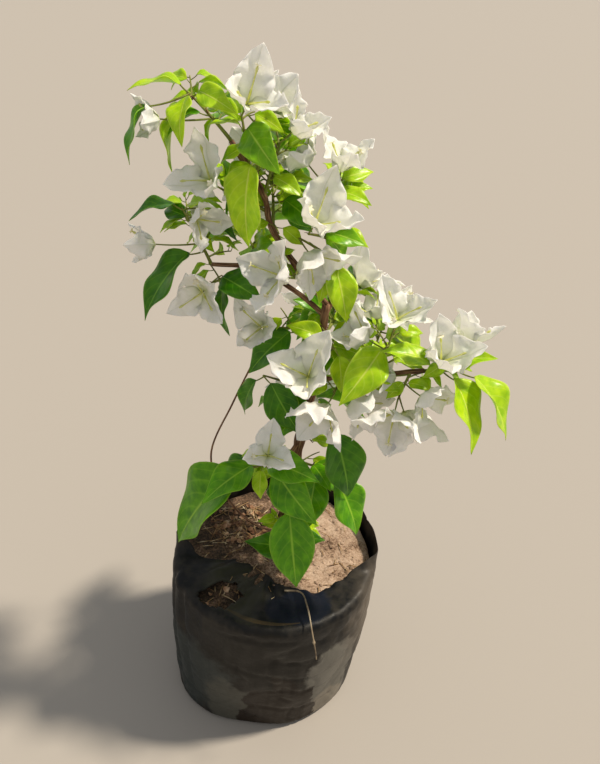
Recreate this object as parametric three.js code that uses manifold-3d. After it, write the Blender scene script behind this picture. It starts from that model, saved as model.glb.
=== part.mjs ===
// A young bougainvillea bush with white papery blossom, growing in a black film grow bag.
// Millimetres and degrees. +Z is up, +X is to the right of the view and +Y goes away from it.
// The origin is the middle of the bag's flat underside.
import * as THREE from "three";
import { mergeVertices } from "three/addons/utils/BufferGeometryUtils.js";
import Module from "manifold-3d";

const wasm = await Module();
wasm.setup();

// Clearance that neighbouring solids keep
const GAP = 0.3;

// Grow bag
const RIM_RADIUS = 110;
const FOOT_RADIUS = 100;
const FILM = 1.6;
const FOOT_ROUND = 9;
const FOLD_HEIGHT = 194;
const COLLAR_HEIGHT = 12;
const FLAP_LEFT = -176;
const FLAP_WIDEST = -112;
const FLAP_RIGHT = -10;
const FLAP_TURN = 26;
const FLAP_NARROW = 30;
const FLAP_WIDE = 64;
const FLAP_ANGLE = 93;
const BULGE = 22;
const BULGE_HEADING = -152;
const BULGE_SPREAD = 64;
const BAG_SIDES = 36;
const BAG_LEVELS = [0, 2.5, 9, 60, 120, 165, 190];

// Potting soil
const SOIL_TOP = 186;

// Leaves, bracts and what carries them
const LEAF = {
  halfWidth: 0.28, peak: 0.76, full: 0.82, taper: 0.35,
  rows: [0.16, 0.42, 0.72], thick: 0.02, fold: 0.32, droop: 38,
};
const BRACT = {
  halfWidth: 0.39, peak: 0.85, full: 0.64, taper: 0.28,
  rows: [0.32, 0.72], thick: 0.026, fold: 0.22, droop: -8,
};
const BRACT_OPEN = [40, 58];
const MIDDLE_X = 20;
const MIDDLE_Y = 35;
const LEAN_OUT = 0.9;
const PETIOLE = 0.2;
const PETIOLE_RADII = [1, 0.9];
const PETIOLE_RISE = 34;
const BRACT_ROOT = 1.1;
const STALK_RADII = [1.2, 1.2, 3.4, 1];
const HEART_LENGTH = 4;
const STEM_RADII = [1.7, 1.1];
const STEM_SIDES = 4;
const STEM_STEPS = 3;
const STEM_ARCH = 0.05;

// Trunk's root flare, and how far apart a limb's sections are
const FLARE = 0.55;
const FLARE_HEIGHT = 14;
const LIMB_STEP = 16;

// Room that blades keep to each other and to limbs
const BLADE_ROOM = 3.3;
const LIMB_ROOM = 2.3;
const OWN_ROOM = 0.45;
const TRIES = 6;
const TURN = 9;
const TILTS = [0, 14, -14, 28];
const STRETCH = 0.12;
const SHRINK = 0.06;
const CURVE_MARKS = 40;
const MARK_STEP = 2;
const GOLDEN = 137.5;

const Z = new THREE.Vector3(0, 0, 1);
const radians = THREE.MathUtils.degToRad;
const lerp = THREE.MathUtils.lerp;
const clamp = THREE.MathUtils.clamp;

// A repeatable stream of numbers from 0 to 1.
function seeded(seed) {
  let state = seed >>> 0;
  return () => {
    state = (state + 0x6d2b79f5) >>> 0;
    let mixed = Math.imul(state ^ (state >>> 15), 1 | state);
    mixed = (mixed + Math.imul(mixed ^ (mixed >>> 7), 61 | mixed)) ^ mixed;
    return ((mixed ^ (mixed >>> 14)) >>> 0) / 4294967296;
  };
}

// Unit vector of a compass heading, 0 along +X and 90 along +Y, and a lift above level.
function direction(heading, lift) {
  const level = Math.cos(radians(lift));
  return new THREE.Vector3(
    level * Math.cos(radians(heading)),
    level * Math.sin(radians(heading)),
    Math.sin(radians(lift)),
  );
}

function along(point, vector, distance) {
  return point.clone().addScaledVector(vector, distance);
}

// A closed solid from triangles of Vector3.
function solidFrom(triangles) {
  const geometry = new THREE.BufferGeometry().setFromPoints(triangles.flat());
  const merged = mergeVertices(geometry, 1e-4);
  return new wasm.Manifold(
    new wasm.Mesh({
      numProp: 3,
      vertProperties: merged.attributes.position.array,
      triVerts: new Uint32Array(merged.index.array),
    }),
  );
}

// Flat cap over a ring; turned makes it face back along the skin.
function cap(ring, turned) {
  const across = new THREE.Triangle(ring[0], ring[1], ring[2]).getNormal(new THREE.Vector3());
  const right = ring[0].clone().sub(ring[1]).normalize();
  const up = new THREE.Vector3().crossVectors(across, right);
  const flat = ring.map((point) => new THREE.Vector2(point.dot(right), point.dot(up)));
  return THREE.ShapeUtils.triangulateShape(flat, []).map((corners) => {
    const face = corners.map((corner) => ring[corner]);
    const normal = new THREE.Triangle(...face).getNormal(new THREE.Vector3());
    return normal.dot(across) > 0 === turned ? face.reverse() : face;
  });
}

// Skin over a row of rings that have as many points each; an end may be a single point.
function skin(rings) {
  const triangles = [];
  for (let level = 1; level < rings.length; level++) {
    const low = rings[level - 1];
    const high = rings[level];
    const count = Math.max(low.length, high.length);
    for (let side = 0; side < count; side++) {
      const next = (side + 1) % count;
      if (low.length > 1) triangles.push([low[side], low[next], high[next % high.length]]);
      if (high.length > 1) triangles.push([low[side % low.length], high[next], high[side]]);
    }
  }
  if (rings[0].length > 1) triangles.push(...cap(rings[0], true));
  if (rings.at(-1).length > 1) triangles.push(...cap(rings.at(-1), false));
  return solidFrom(triangles);
}

// Points round a centre, turning from one unit vector to the other.
function circle(centre, first, second, radius, sides, phase = 0) {
  const ring = [];
  for (let side = 0; side < sides; side++) {
    const angle = (side / sides) * 2 * Math.PI + radians(phase);
    const spoke = first.clone().multiplyScalar(Math.cos(angle));
    ring.push(along(centre, spoke.addScaledVector(second, Math.sin(angle)), radius));
  }
  return ring;
}

// A tapering limb or twig along points, with flat ends, its sides turned as little as can be.
function tube(points, radii, sides, flatFoot = false) {
  const rings = [];
  let across = new THREE.Vector3(0, 1, 0);
  points.forEach((point, index) => {
    const before = points[Math.max(index - 1, 0)];
    const after = points[Math.min(index + 1, points.length - 1)];
    const ahead = flatFoot && index === 0 ? Z.clone() : after.clone().sub(before).normalize();
    if (Math.abs(across.dot(ahead)) > 0.95) across = new THREE.Vector3(1, 0, 0);
    across = across.clone().addScaledVector(ahead, -across.dot(ahead)).normalize();
    const third = new THREE.Vector3().crossVectors(ahead, across);
    rings.push(circle(point, across, third, radii[index], sides));
  });
  return skin(rings);
}

// Radius of the bag's outside: narrower at its foot and slumped out at the left front.
function bagRadius(heading, height) {
  const off = Math.abs(((heading - BULGE_HEADING + 540) % 360) - 180);
  const slump = off < BULGE_SPREAD ? Math.cos(radians((90 * off) / BULGE_SPREAD)) ** 2 : 0;
  const foot = height < FOOT_ROUND ? (1 - height / FOOT_ROUND) ** 2 * FOOT_ROUND : 0;
  const body = lerp(FOOT_RADIUS, RIM_RADIUS, clamp(height / 120, 0, 1));
  return body + BULGE * slump * (1 - (0.55 * height) / FOLD_HEIGHT) - foot;
}

function bagRing(height, inset) {
  const ring = [];
  for (let side = 0; side < BAG_SIDES; side++) {
    const heading = (side / BAG_SIDES) * 360 - 180;
    const radius = bagRadius(heading, height) - inset;
    ring.push(direction(heading, 0).multiplyScalar(radius).setZ(height));
  }
  return ring;
}

// How far the film is turned in over the soil at a heading: 0 stands up and 1 lies over it.
function turnedIn(heading) {
  const enters = clamp((heading - FLAP_LEFT) / FLAP_TURN, 0, 1);
  const leaves = clamp((FLAP_RIGHT - heading) / FLAP_TURN, 0, 1);
  return Math.min(enters, leaves);
}

// Length of film past the fold: a short collar, and a flap that is widest at the left front.
function filmPast(heading) {
  const wide = clamp((FLAP_RIGHT - heading) / (FLAP_RIGHT - FLAP_WIDEST), 0, 1);
  return lerp(COLLAR_HEIGHT, lerp(FLAP_NARROW, FLAP_WIDE, wide), turnedIn(heading) ** 3);
}

// One ring of that film: reach is 0 at the fold and 1 at the free edge, side is 1 outside.
function collarRing(reach, side) {
  const ring = [];
  for (let step = 0; step < BAG_SIDES; step++) {
    const heading = (step / BAG_SIDES) * 360 - 180;
    const angle = radians(FLAP_ANGLE * turnedIn(heading));
    const length = filmPast(heading) * reach;
    const bend = reach === 0 ? angle / 2 : angle;
    const skinDepth = (side * FILM) / 2;
    const foldRadius = bagRadius(heading, FOLD_HEIGHT) - FILM / 2;
    const radius = foldRadius - length * Math.sin(angle) + skinDepth * Math.cos(bend);
    const height = FOLD_HEIGHT + length * Math.cos(angle) + skinDepth * Math.sin(bend);
    ring.push(direction(heading, 0).multiplyScalar(radius).setZ(height));
  }
  return ring;
}

function growBag() {
  const outside = BAG_LEVELS.map((height) => bagRing(height, 0));
  const inside = BAG_LEVELS.slice(1).map((height) => bagRing(Math.max(height, FILM), FILM));
  const collar = [collarRing(0, 1), collarRing(0.5, 1), collarRing(1, 1)];
  const lining = [collarRing(1, -1), collarRing(0.5, -1), collarRing(0, -1)];
  return skin([...outside, ...collar, ...lining, ...inside.reverse()]);
}

function pottingSoil() {
  const levels = BAG_LEVELS.slice(1, -1).map((height) => Math.max(height, FILM) + GAP);
  const rings = [...levels, SOIL_TOP].map((height) => bagRing(height, FILM + 2 * GAP));
  return skin(rings);
}

// Limbs: the points each bends through, its radius at foot and tip, and what it grows from.
const limbs = {
  trunk: {
    points: [[-5, 10, SOIL_TOP + GAP], [5, 5, 270], [14, 1, 365], [20, 0, 410], [25, 0, 500]],
    radius: [5.6, 2.9],
    sides: 10,
  },
  left_leader: {
    from: "trunk",
    at: 1,
    points: [[-4, 0, 534], [-25, 0, 565], [-30, 0, 586], [-56, 0, 626]],
    radius: [2.6, 1.9],
  },
  upper_right_bough: {
    from: "trunk",
    at: 0.965,
    points: [[32, 6, 512], [24, 6, 545], [14, 3, 584]],
    radius: [2.2, 1.6],
  },
  right_bough: {
    from: "trunk",
    at: 0.78,
    points: [[50, -8, 437], [77, -20, 447], [112, -28, 459]],
    radius: [2.7, 1.8],
  },
  left_bough: {
    from: "trunk",
    at: 0.97,
    points: [[0, 5, 506], [-38, 5, 525], [-72, 0, 528]],
    radius: [2.4, 1.7],
  },
  low_front_bough: {
    from: "trunk",
    at: 0.45,
    points: [[0, -16, 340], [-12, -32, 345]],
    radius: [2.3, 1.8],
  },
  back_bough: {
    from: "trunk",
    at: 0.66,
    points: [[22, 24, 408], [24, 52, 428]],
    radius: [2.4, 1.7],
  },
  bare_shoot: {
    from: "trunk",
    at: 0.06,
    points: [[-36, 18, 212], [-70, 24, 254], [-80, 26, 300], [-57, 26, 370], [-34, 25, 430]],
    radius: [1.3, 0.8],
  },
};

function limbCurve(name) {
  const limb = limbs[name];
  const points = limb.points.map((p) => new THREE.Vector3(...p));
  if (limb.from) points.unshift(limbCurve(limb.from).getPoint(limb.at));
  return new THREE.CatmullRomCurve3(points, false, "centripetal");
}

// A limb's solid; grow makes it that much larger all over, to clear room round it.
function limbSolid(name, grow = 0) {
  const limb = limbs[name];
  const curve = limbCurve(name);
  const steps = Math.max(4, Math.round(curve.getLength() / LIMB_STEP / (limb.from ? 1.4 : 1)));
  const points = curve.getPoints(steps);
  const radii = points.map((point, index) => {
    const flare = limb.from ? 0 : FLARE * Math.exp(-(point.z - SOIL_TOP) / FLARE_HEIGHT);
    return lerp(limb.radius[0], limb.radius[1], index / steps) * (1 + flare) + grow;
  });
  points[steps] = along(points[steps], curve.getTangent(1), grow);
  return tube(points, radii, limb.sides ?? 6, !limb.from);
}

// Marks where limbs, stems and blades already are, with the room each one keeps.
const taken = [];

function takeCurve(curve, radii, owner) {
  curve.getPoints(CURVE_MARKS).forEach((point, index) => {
    const radius = lerp(radii[0], radii[1], index / CURVE_MARKS);
    taken.push({ point, room: radius + LIMB_ROOM, owner });
  });
}

// Half-width of a blade's outline, as a share of its widest, from root 0 to tip 1: peak moves the
// widest place, full rounds the sides, and taper draws in the tip.
function outline(form, t) {
  return Math.sin(Math.PI * t ** form.peak) ** form.full * (1 - form.taper * t ** 3);
}

// A point on a blade: t from root to tip, side from -1 to 1 across.
function bladePoint(blade, t, side) {
  const bend = radians(blade.form.droop);
  const ahead = (Math.sin(bend * t) / bend) * blade.length;
  const fall = ((1 - Math.cos(bend * t)) / bend) * blade.length;
  const wide = blade.form.halfWidth * outline(blade.form, t) * blade.length * side;
  const point = along(blade.root, blade.ahead, ahead);
  point.addScaledVector(blade.face, Math.abs(wide) * blade.form.fold - fall);
  return point.addScaledVector(blade.across, wide);
}

// A blade that sets out from root; its upper face turns towards face, then by roll.
function makeBlade(root, ahead, length, face, roll, form) {
  const upper = face.clone().addScaledVector(ahead, -face.dot(ahead)).normalize();
  upper.applyAxisAngle(ahead, radians(roll));
  const across = new THREE.Vector3().crossVectors(ahead, upper);
  return { root, ahead, length, face: upper, across, form };
}

function bladeMarks(blade) {
  const marks = [];
  const rows = Math.ceil(blade.length / MARK_STEP);
  for (let row = 1; row <= rows; row++) {
    const wide = blade.form.halfWidth * outline(blade.form, row / rows) * blade.length;
    const columns = Math.ceil(wide / MARK_STEP);
    for (let column = -columns; column <= columns; column++)
      marks.push(bladePoint(blade, row / rows, column / columns));
  }
  return marks;
}

// Thin closed blade with sharp edges, thickest along its midrib, that starts from given rings.
function bladeSolid(blade, rings) {
  const lift = (blade.form.thick * blade.length) / 2;
  const rows = blade.form.rows.map((t) => {
    const spine = bladePoint(blade, t, 0);
    const below = along(spine, blade.face, -lift);
    return [bladePoint(blade, t, 1), below, bladePoint(blade, t, -1), along(spine, blade.face, lift)];
  });
  return skin([...rings, ...rows, [bladePoint(blade, 1, 0)]]);
}

// Sprays: the limb each grows from and how far along it, then its stem's heading, lift and
// length. A leaf row holds its place along the stem, heading, lift and length, and a blossom
// row its place, heading, lift, bract length and stalk, with its roll and opening where these
// aren't left to chance. Counts in place of rows leave them to the rule that turns each next
// one by the golden angle.
const sprays = {
  spray_top_left: {
    limb: "left_leader", at: 1, heading: 180, lift: 45, length: 42, seed: 11,
    leaves: [[0.9, 168, -60, 54], [0.93, -26, 10, 38], [0.96, -104, -48, 36], [1, -166, 12, 38]],
    blossoms: [[0.45, -156, 0, 23, 38]],
  },
  spray_top: {
    limb: "left_leader", at: 0.88, heading: 150, lift: 78, length: 38, seed: 12,
    leaves: [[0.72, -66, -14, 48], [0.7, -150, 20, 26]],
    blossoms: [[1, -60, 45, 38, 12, 8, 44]],
  },
  spray_top_right: {
    limb: "left_leader", at: 0.76, heading: -12, lift: 75, length: 42, seed: 13,
    leaves: [[0.12, 6, 2, 48], [0.5, 30, 8, 40]],
    blossoms: [[1, -30, 58, 31, 11, 30, 44]],
  },
  spray_upper_left: {
    limb: "left_leader", at: 0.62, heading: 172, lift: 20, length: 40, seed: 14,
    leaves: [[0.6, 150, 20, 30]],
    blossoms: [[0.96, -130, 48, 40, 15, 40, 50]],
  },
  spray_centre_front: {
    limb: "left_leader", at: 0.83, heading: -78, lift: 60, length: 32, seed: 15,
    leaves: [[1, -106, -54, 66], [0.5, -172, -34, 32]],
    blossoms: [],
  },
  spray_middle_front: {
    limb: "left_leader", at: 0.22, heading: -95, lift: 5, length: 24, seed: 16,
    leaves: [],
    blossoms: [[1, -140, 20, 42, 11, 0, 50]],
  },
  spray_left_shoot: {
    limb: "left_bough", at: 1, heading: 165, lift: 60, length: 50, seed: 17,
    leaves: [[0.22, -143, -45, 66], [0.95, -162, 2, 38], [0.7, 150, 10, 30]],
    blossoms: [[0.35, -170, -2, 27, 36], [0.9, -40, 10, 30, 14, 60, 50]],
  },
  spray_left_low: {
    limb: "left_bough", at: 0.72, heading: -172, lift: -30, length: 38, seed: 18,
    leaves: [[0.72, -48, 6, 46], [0.47, -72, -54, 50]],
    blossoms: [[1, -98, 2, 36, 11, 30, 50]],
  },
  spray_right_shoulder: {
    limb: "upper_right_bough", at: 0.76, heading: -135, lift: 20, length: 24, seed: 20,
    leaves: [[0.45, -22, 2, 34]],
    blossoms: [[1, -50, 55, 44, 10, 0, 42]],
  },
  spray_upper_right: {
    limb: "upper_right_bough", at: 1, heading: 48, lift: 30, length: 18, seed: 19,
    leaves: [[0.5, 40, 25, 34]],
    blossoms: [[1, -58, 50, 38, 12, 45, 48], [0.75, -172, 58, 31, 28]],
  },
  spray_middle_right: {
    limb: "upper_right_bough", at: 0.6, heading: -153, lift: 34, length: 37, seed: 35,
    leaves: [[0.15, -35, -32, 56]],
    blossoms: [[1, -78, -14, 50, 11, 90, 50]],
  },
  spray_centre_left: {
    limb: "trunk", at: 0.93, heading: 176, lift: -4, length: 48, seed: 22,
    leaves: [[0.28, -136, -34, 64]],
    blossoms: [[1, -112, 28, 35, 13]],
  },
  spray_centre_right: {
    limb: "trunk", at: 0.88, heading: -55, lift: 30, length: 26, seed: 23,
    leaves: [[0.35, -14, 0, 38], [1, -62, -60, 36], [0.6, -140, 10, 44]],
    blossoms: [],
  },
  spray_centre_low: {
    limb: "trunk", at: 0.81, heading: -100, lift: 18, length: 26, seed: 24,
    leaves: [],
    blossoms: [[1, -115, 50, 47, 10, 8, 46]],
  },
  spray_inner_low: {
    limb: "right_bough", at: 0.27, heading: -105, lift: -14, length: 24, seed: 25,
    leaves: [],
    blossoms: [[1, -120, -26, 46, 12, 55, 46], [0.6, -42, -14, 38, 20]],
  },
  spray_inner_top: {
    limb: "right_bough", at: 0.66, heading: 58, lift: 70, length: 42, seed: 26,
    leaves: [[0.62, -130, -24, 64]],
    blossoms: [[1, -85, 66, 37, 12], [0.5, -160, 34, 36, 24]],
  },
  spray_right_tip: {
    limb: "right_bough", at: 1, heading: -8, lift: 8, length: 28, seed: 27,
    leaves: [[0.25, -167, 30, 46], [0.5, -24, 40, 42], [0.5, -52, -48, 66], [1, -24, -48, 66]],
    blossoms: [[0.3, -75, 60, 42, 14], [1, 60, 62, 36, 22]],
  },
  spray_right_low: {
    limb: "right_bough", at: 0.9, heading: -122, lift: -46, length: 26, seed: 28,
    leaves: [],
    blossoms: [[1, -122, -26, 48, 10, 90, 52], [0.45, -64, -10, 40, 14, 60, 58]],
  },
  spray_low_left: {
    limb: "trunk", at: 0.74, heading: 174, lift: 14, length: 48, seed: 29,
    leaves: [[0.96, -166, -60, 46], [1, -46, -44, 60], [0.4, -62, -44, 32]],
    blossoms: [],
  },
  spray_low_right: {
    limb: "trunk", at: 0.6, heading: -30, lift: 0, length: 22, seed: 30,
    leaves: [[1, -50, -55, 72]],
    blossoms: [],
  },
  spray_low_front: {
    limb: "low_front_bough", at: 1, heading: -150, lift: 8, length: 16, seed: 31,
    leaves: [
      [1, -162, -42, 112], [0.8, -136, -16, 58], [0.5, -39, 18, 52],
      [0.35, -49, -24, 64], [0.65, -94, -46, 28],
    ],
    blossoms: [[0.45, -80, 58, 34, 29, 20, 52]],
  },
  spray_foot_front: {
    limb: "trunk", at: 0.33, heading: -95, lift: 12, length: 44, seed: 32,
    leaves: [[1, -77, -46, 78]],
    blossoms: [],
  },
  spray_foot_right: {
    limb: "trunk", at: 0.38, heading: -25, lift: 3, length: 34, seed: 33,
    leaves: [[0.3, -9, -14, 53], [0.7, -96, -44, 59], [1, -40, -58, 66]],
    blossoms: [],
  },
  spray_foot: {
    limb: "trunk", at: 0.13, heading: -70, lift: 6, length: 52, seed: 34,
    leaves: [[1, -160, 26, 50], [0.6, -20, 20, 34]],
    blossoms: [],
  },
  spray_back_crown: {
    limb: "left_leader", at: 0.92, heading: 78, lift: 40, length: 34, seed: 41,
    leaves: 3, blossoms: 1,
  },
  spray_back_top: {
    limb: "left_leader", at: 0.46, heading: 96, lift: 32, length: 60, seed: 42,
    leaves: 5, blossoms: 2,
  },
  spray_back_shoulder: {
    limb: "trunk", at: 0.9, heading: 66, lift: 14, length: 66, seed: 43,
    leaves: 5, blossoms: 2,
  },
  spray_back_left: {
    limb: "left_bough", at: 0.6, heading: 112, lift: 16, length: 48, seed: 44,
    leaves: 4, blossoms: 1,
  },
  spray_back_right: {
    limb: "right_bough", at: 0.52, heading: 74, lift: 16, length: 62, seed: 45,
    leaves: 5, blossoms: 2,
  },
  spray_back_middle: {
    limb: "back_bough", at: 1, heading: 84, lift: 22, length: 46, seed: 46,
    leaves: 6, blossoms: 3,
  },
  spray_back_low: {
    limb: "trunk", at: 0.46, heading: 88, lift: 10, length: 58, seed: 47,
    leaves: 5, blossoms: 1,
  },
  spray_back_foot: {
    limb: "trunk", at: 0.27, heading: 135, lift: 8, length: 44, seed: 48,
    leaves: 3, blossoms: 0,
  },
};

// Rows of a spray that states only counts: each next leaf turns by the golden angle.
function ruledRows(spray, random) {
  const leaves = [];
  for (let index = 0; index < spray.leaves; index++) {
    const share = (index + 1) / spray.leaves;
    const turned = spray.heading + ((index * GOLDEN) % 360) - 180;
    const aim = direction(turned, -10).lerp(direction(spray.heading, spray.lift), 0.45);
    const heading = THREE.MathUtils.radToDeg(Math.atan2(aim.y, aim.x));
    leaves.push([0.3 + 0.7 * share, heading, -34 + 40 * random(), 44 + 24 * random()]);
  }
  const blossoms = [];
  for (let index = 0; index < spray.blossoms; index++) {
    const share = 1 - (0.55 * index) / spray.blossoms;
    const heading = spray.heading + (index % 2 ? 55 : -35) * (0.6 + random());
    blossoms.push([share, heading, 15 + 45 * random(), 36 + 10 * random(), 14]);
  }
  return { leaves, blossoms };
}

// Ways a row tries to find room: turned to and fro round its heading, ever wider, and tilted,
// with its stalk drawn out a little more and its blades a little smaller at each step.
function* ways(heading, lift) {
  for (let step = 0; step <= TRIES; step++)
    for (const tilt of TILTS)
      for (const turn of step ? [step * TURN, -step * TURN] : [0])
        yield [heading + turn, lift + tilt, 1 + STRETCH * step, 1 - SHRINK * step];
}

// Marks are free outside the room of every other, of which their own spray's is only a share.
function isFree(marks, owner, share) {
  const box = new THREE.Box3().setFromPoints(marks);
  const near = taken.filter((other) => box.distanceToPoint(other.point) < other.room);
  return marks.every((mark) =>
    near.every((other) => {
      const room = other.owner === owner ? other.room * share : other.room;
      return other.point.distanceToSquared(mark) >= room ** 2;
    }),
  );
}

// Takes the room of a leaf or blossom, and of its stalk from foot to end, if all is free.
function settle(blades, foot, end, owner) {
  const marks = blades.flatMap(bladeMarks);
  const steps = Math.ceil(foot.distanceTo(end) / MARK_STEP);
  const stalk = [];
  for (let step = 1; step <= steps; step++) stalk.push(foot.clone().lerp(end, step / steps));
  if (!isFree(marks, owner, OWN_ROOM) || !isFree(stalk, owner, 0)) return false;
  for (const point of marks) taken.push({ point, room: BLADE_ROOM, owner });
  for (const point of stalk) taken.push({ point, room: STALK_RADII[0] + LIMB_ROOM, owner });
  return true;
}

// Where a leaf turns its upper face: up, and out from the middle of the bush.
function lightFrom(point) {
  const out = new THREE.Vector3(point.x - MIDDLE_X, point.y - MIDDLE_Y, 0);
  return Z.clone().addScaledVector(out, LEAN_OUT / Math.max(out.length(), 1));
}

function growLeaf(curve, row, random, owner) {
  const [share, heading, lift, size] = row;
  const roll = 24 * (random() - 0.5);
  const full = size * (0.97 + 0.06 * random());
  const foot = curve.getPoint(share);
  for (const [turned, tilted, stretch, shrink] of ways(heading, lift)) {
    const length = full * shrink;
    const ahead = direction(turned, tilted);
    const rise = direction(turned, Math.min(tilted + PETIOLE_RISE, 60));
    const root = along(foot, rise, PETIOLE * full * stretch);
    const blade = makeBlade(root, ahead, length, lightFrom(root), roll, LEAF);
    if (!settle([blade], foot, root, owner)) continue;
    const petiole = [foot, root].map((centre, end) =>
      circle(centre, blade.across, blade.face.clone().negate(), PETIOLE_RADII[end], 4),
    );
    return [bladeSolid(blade, petiole)];
  }
  return [];
}

// Three bracts round a small heart at the end of a stalk, their roots sunk in the heart. A row
// that states no roll or opening leaves them to chance.
function growBlossom(curve, row, random, owner) {
  const chance = [120 * random(), lerp(...BRACT_OPEN, random())];
  const [share, heading, lift, size, reach, roll = chance[0], open = chance[1]] = row;
  const foot = curve.getPoint(share);
  for (const [turned, tilted, stretch, shrink] of ways(heading, lift)) {
    const axis = direction(turned, tilted);
    const heart = along(foot, axis, reach * stretch);
    const level = new THREE.Vector3().crossVectors(axis, Z).normalize();
    level.applyAxisAngle(axis, radians(roll));
    const blades = [0, 1, 2].map((index) => {
      const spoke = level.clone().applyAxisAngle(axis, radians(120 * index));
      const ahead = axis.clone().multiplyScalar(Math.cos(radians(open)));
      ahead.addScaledVector(spoke, Math.sin(radians(open)));
      const root = along(heart, spoke, BRACT_ROOT);
      return makeBlade(root, ahead, size * shrink * (0.94 + 0.06 * index), axis, 0, BRACT);
    });
    if (!settle(blades, foot, heart, owner)) continue;
    const across = new THREE.Vector3().crossVectors(axis, level);
    const stalk = [foot, along(heart, axis, -HEART_LENGTH), heart, along(heart, axis, HEART_LENGTH)];
    const rings = stalk.map((centre, index) =>
      circle(centre, level, across, STALK_RADII[index], 3, 60),
    );
    return [skin(rings), ...blades.map((blade) => bladeSolid(blade, [[blade.root]]))];
  }
  return [];
}

function stemCurve(spray) {
  const start = limbCurve(spray.limb).getPoint(spray.at);
  const aim = direction(spray.heading, spray.lift);
  const middle = along(start, aim, spray.length / 2).addScaledVector(Z, STEM_ARCH * spray.length);
  return new THREE.QuadraticBezierCurve3(start, middle, along(start, aim, spray.length));
}

// A mass before it is joined: its stem, its rows, and the solids that grow on it.
function startSpray(name) {
  const spray = sprays[name];
  const random = seeded(spray.seed);
  const curve = stemCurve(spray);
  takeCurve(curve, STEM_RADII, name);
  const radii = [];
  for (let step = 0; step <= STEM_STEPS; step++)
    radii.push(lerp(STEM_RADII[0], STEM_RADII[1], step / STEM_STEPS));
  const rows = Array.isArray(spray.leaves) ? spray : ruledRows(spray, random);
  const solids = [tube(curve.getPoints(STEM_STEPS), radii, STEM_SIDES)];
  return { name, limb: spray.limb, random, curve, rows, solids };
}

// The largest body of a solid; a scrap that a cut leaves loose is dropped.
function mainBody(solid) {
  return solid.decompose().reduce((a, b) => (a.volume() > b.volume() ? a : b));
}

const bush = new THREE.Group();

// Adds a solid as a named mesh that stands at its own place in the bush.
function addMesh(name, solid, material, place = new THREE.Vector3()) {
  const { vertProperties, triVerts } = solid.getMesh();
  const geometry = new THREE.BufferGeometry();
  geometry.setAttribute("position", new THREE.BufferAttribute(vertProperties, 3));
  geometry.setIndex(new THREE.BufferAttribute(triVerts, 1));
  geometry.translate(-place.x, -place.y, -place.z);
  geometry.computeVertexNormals();
  const mesh = new THREE.Mesh(geometry, new THREE.MeshStandardMaterial(material));
  mesh.name = name;
  mesh.position.copy(place);
  bush.add(mesh);
}

addMesh("grow_bag", growBag(), { color: "#26272a", roughness: 0.42, metalness: 0, flatShading: true });
addMesh("potting_soil", pottingSoil(), { color: "#b08a70", roughness: 0.95, metalness: 0 });

for (const [name, limb] of Object.entries(limbs)) {
  takeCurve(limbCurve(name), limb.radius, name);
  const solid = limb.from ? limbSolid(name).subtract(limbSolid(limb.from, GAP)) : limbSolid(name);
  const place = limbCurve(name).getPoint(0);
  addMesh(name, mainBody(solid), { color: "#6d4a33", roughness: 0.8, metalness: 0 }, place);
}

// All stems come first, then all blossom, and the leaves fill in where there is room left.
const masses = Object.keys(sprays).map(startSpray);
for (const { name, curve, rows, random, solids } of masses)
  for (const row of rows.blossoms) solids.push(...growBlossom(curve, row, random, name));
for (const { name, curve, rows, random, solids } of masses)
  for (const row of rows.leaves) solids.push(...growLeaf(curve, row, random, name));

// Each mass is joined and cut clear of the limb that it grows from.
for (const { name, limb, curve, solids } of masses) {
  const mass = wasm.Manifold.union(solids).subtract(limbSolid(limb, GAP));
  const material = { color: "#5f9a2e", roughness: 0.5, metalness: 0, flatShading: true };
  addMesh(name, mainBody(mass), material, curve.getPoint(0));
}

export default bush;
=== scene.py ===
# %% [markdown]
# # A bougainvillea in a grow bag
#
# The plant is a young bougainvillea with white blossom, grown on in a bag of black film. The
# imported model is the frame: it says how tall the bush is, where each limb runs and how far each
# spray reaches. This lesson grows the finer plant inside that frame, by the same rule that made
# the solids, and gives each surface its finish.

# %% Load the frame
import math
import bmesh
import bpy
import numpy as np
from mathutils import Matrix, Vector, noise


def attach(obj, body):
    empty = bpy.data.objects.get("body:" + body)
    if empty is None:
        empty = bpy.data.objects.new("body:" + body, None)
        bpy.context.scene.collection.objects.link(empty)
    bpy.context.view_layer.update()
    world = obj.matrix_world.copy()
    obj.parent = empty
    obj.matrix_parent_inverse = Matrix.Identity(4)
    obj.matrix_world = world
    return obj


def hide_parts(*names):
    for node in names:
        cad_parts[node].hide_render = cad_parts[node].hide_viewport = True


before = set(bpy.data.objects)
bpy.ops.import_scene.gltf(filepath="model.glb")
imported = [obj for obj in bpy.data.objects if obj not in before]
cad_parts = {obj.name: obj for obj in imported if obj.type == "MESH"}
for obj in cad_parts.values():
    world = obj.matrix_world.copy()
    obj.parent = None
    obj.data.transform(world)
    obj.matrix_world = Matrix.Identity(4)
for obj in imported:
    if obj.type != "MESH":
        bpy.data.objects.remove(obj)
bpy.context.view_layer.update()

# %% [markdown]
# ## Small tools
#
# Sizes below are in millimetres, as a gardener would measure them, and become metres when a
# mesh is finished. Colours are hex values as a paint shop gives them. One function turns them
# to the linear numbers that a shader wants, one gives any node its inputs, and one adds a node
# with its settings. A bmesh could be scaled by its object instead, but then a pattern would be
# scaled with it.

# %% Units and colours
MM = 0.001
UP = Vector((0, 0, 1))


def paint(code):
    """Linear colour of an sRGB hex value such as "#5f9a2e"."""
    channels = [int(code[i : i + 2], 16) / 255 for i in (1, 3, 5)]
    linear = [c / 12.92 if c <= 0.04045 else ((c + 0.055) / 1.055) ** 2.4 for c in channels]
    return (*linear, 1.0)


def per(millimetres):
    """The scale of a pattern on Object coordinates that repeats each so many millimetres."""
    return 1000 / millimetres


# %% Nodes
COLOURS = {"data_type": "RGBA"}


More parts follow.
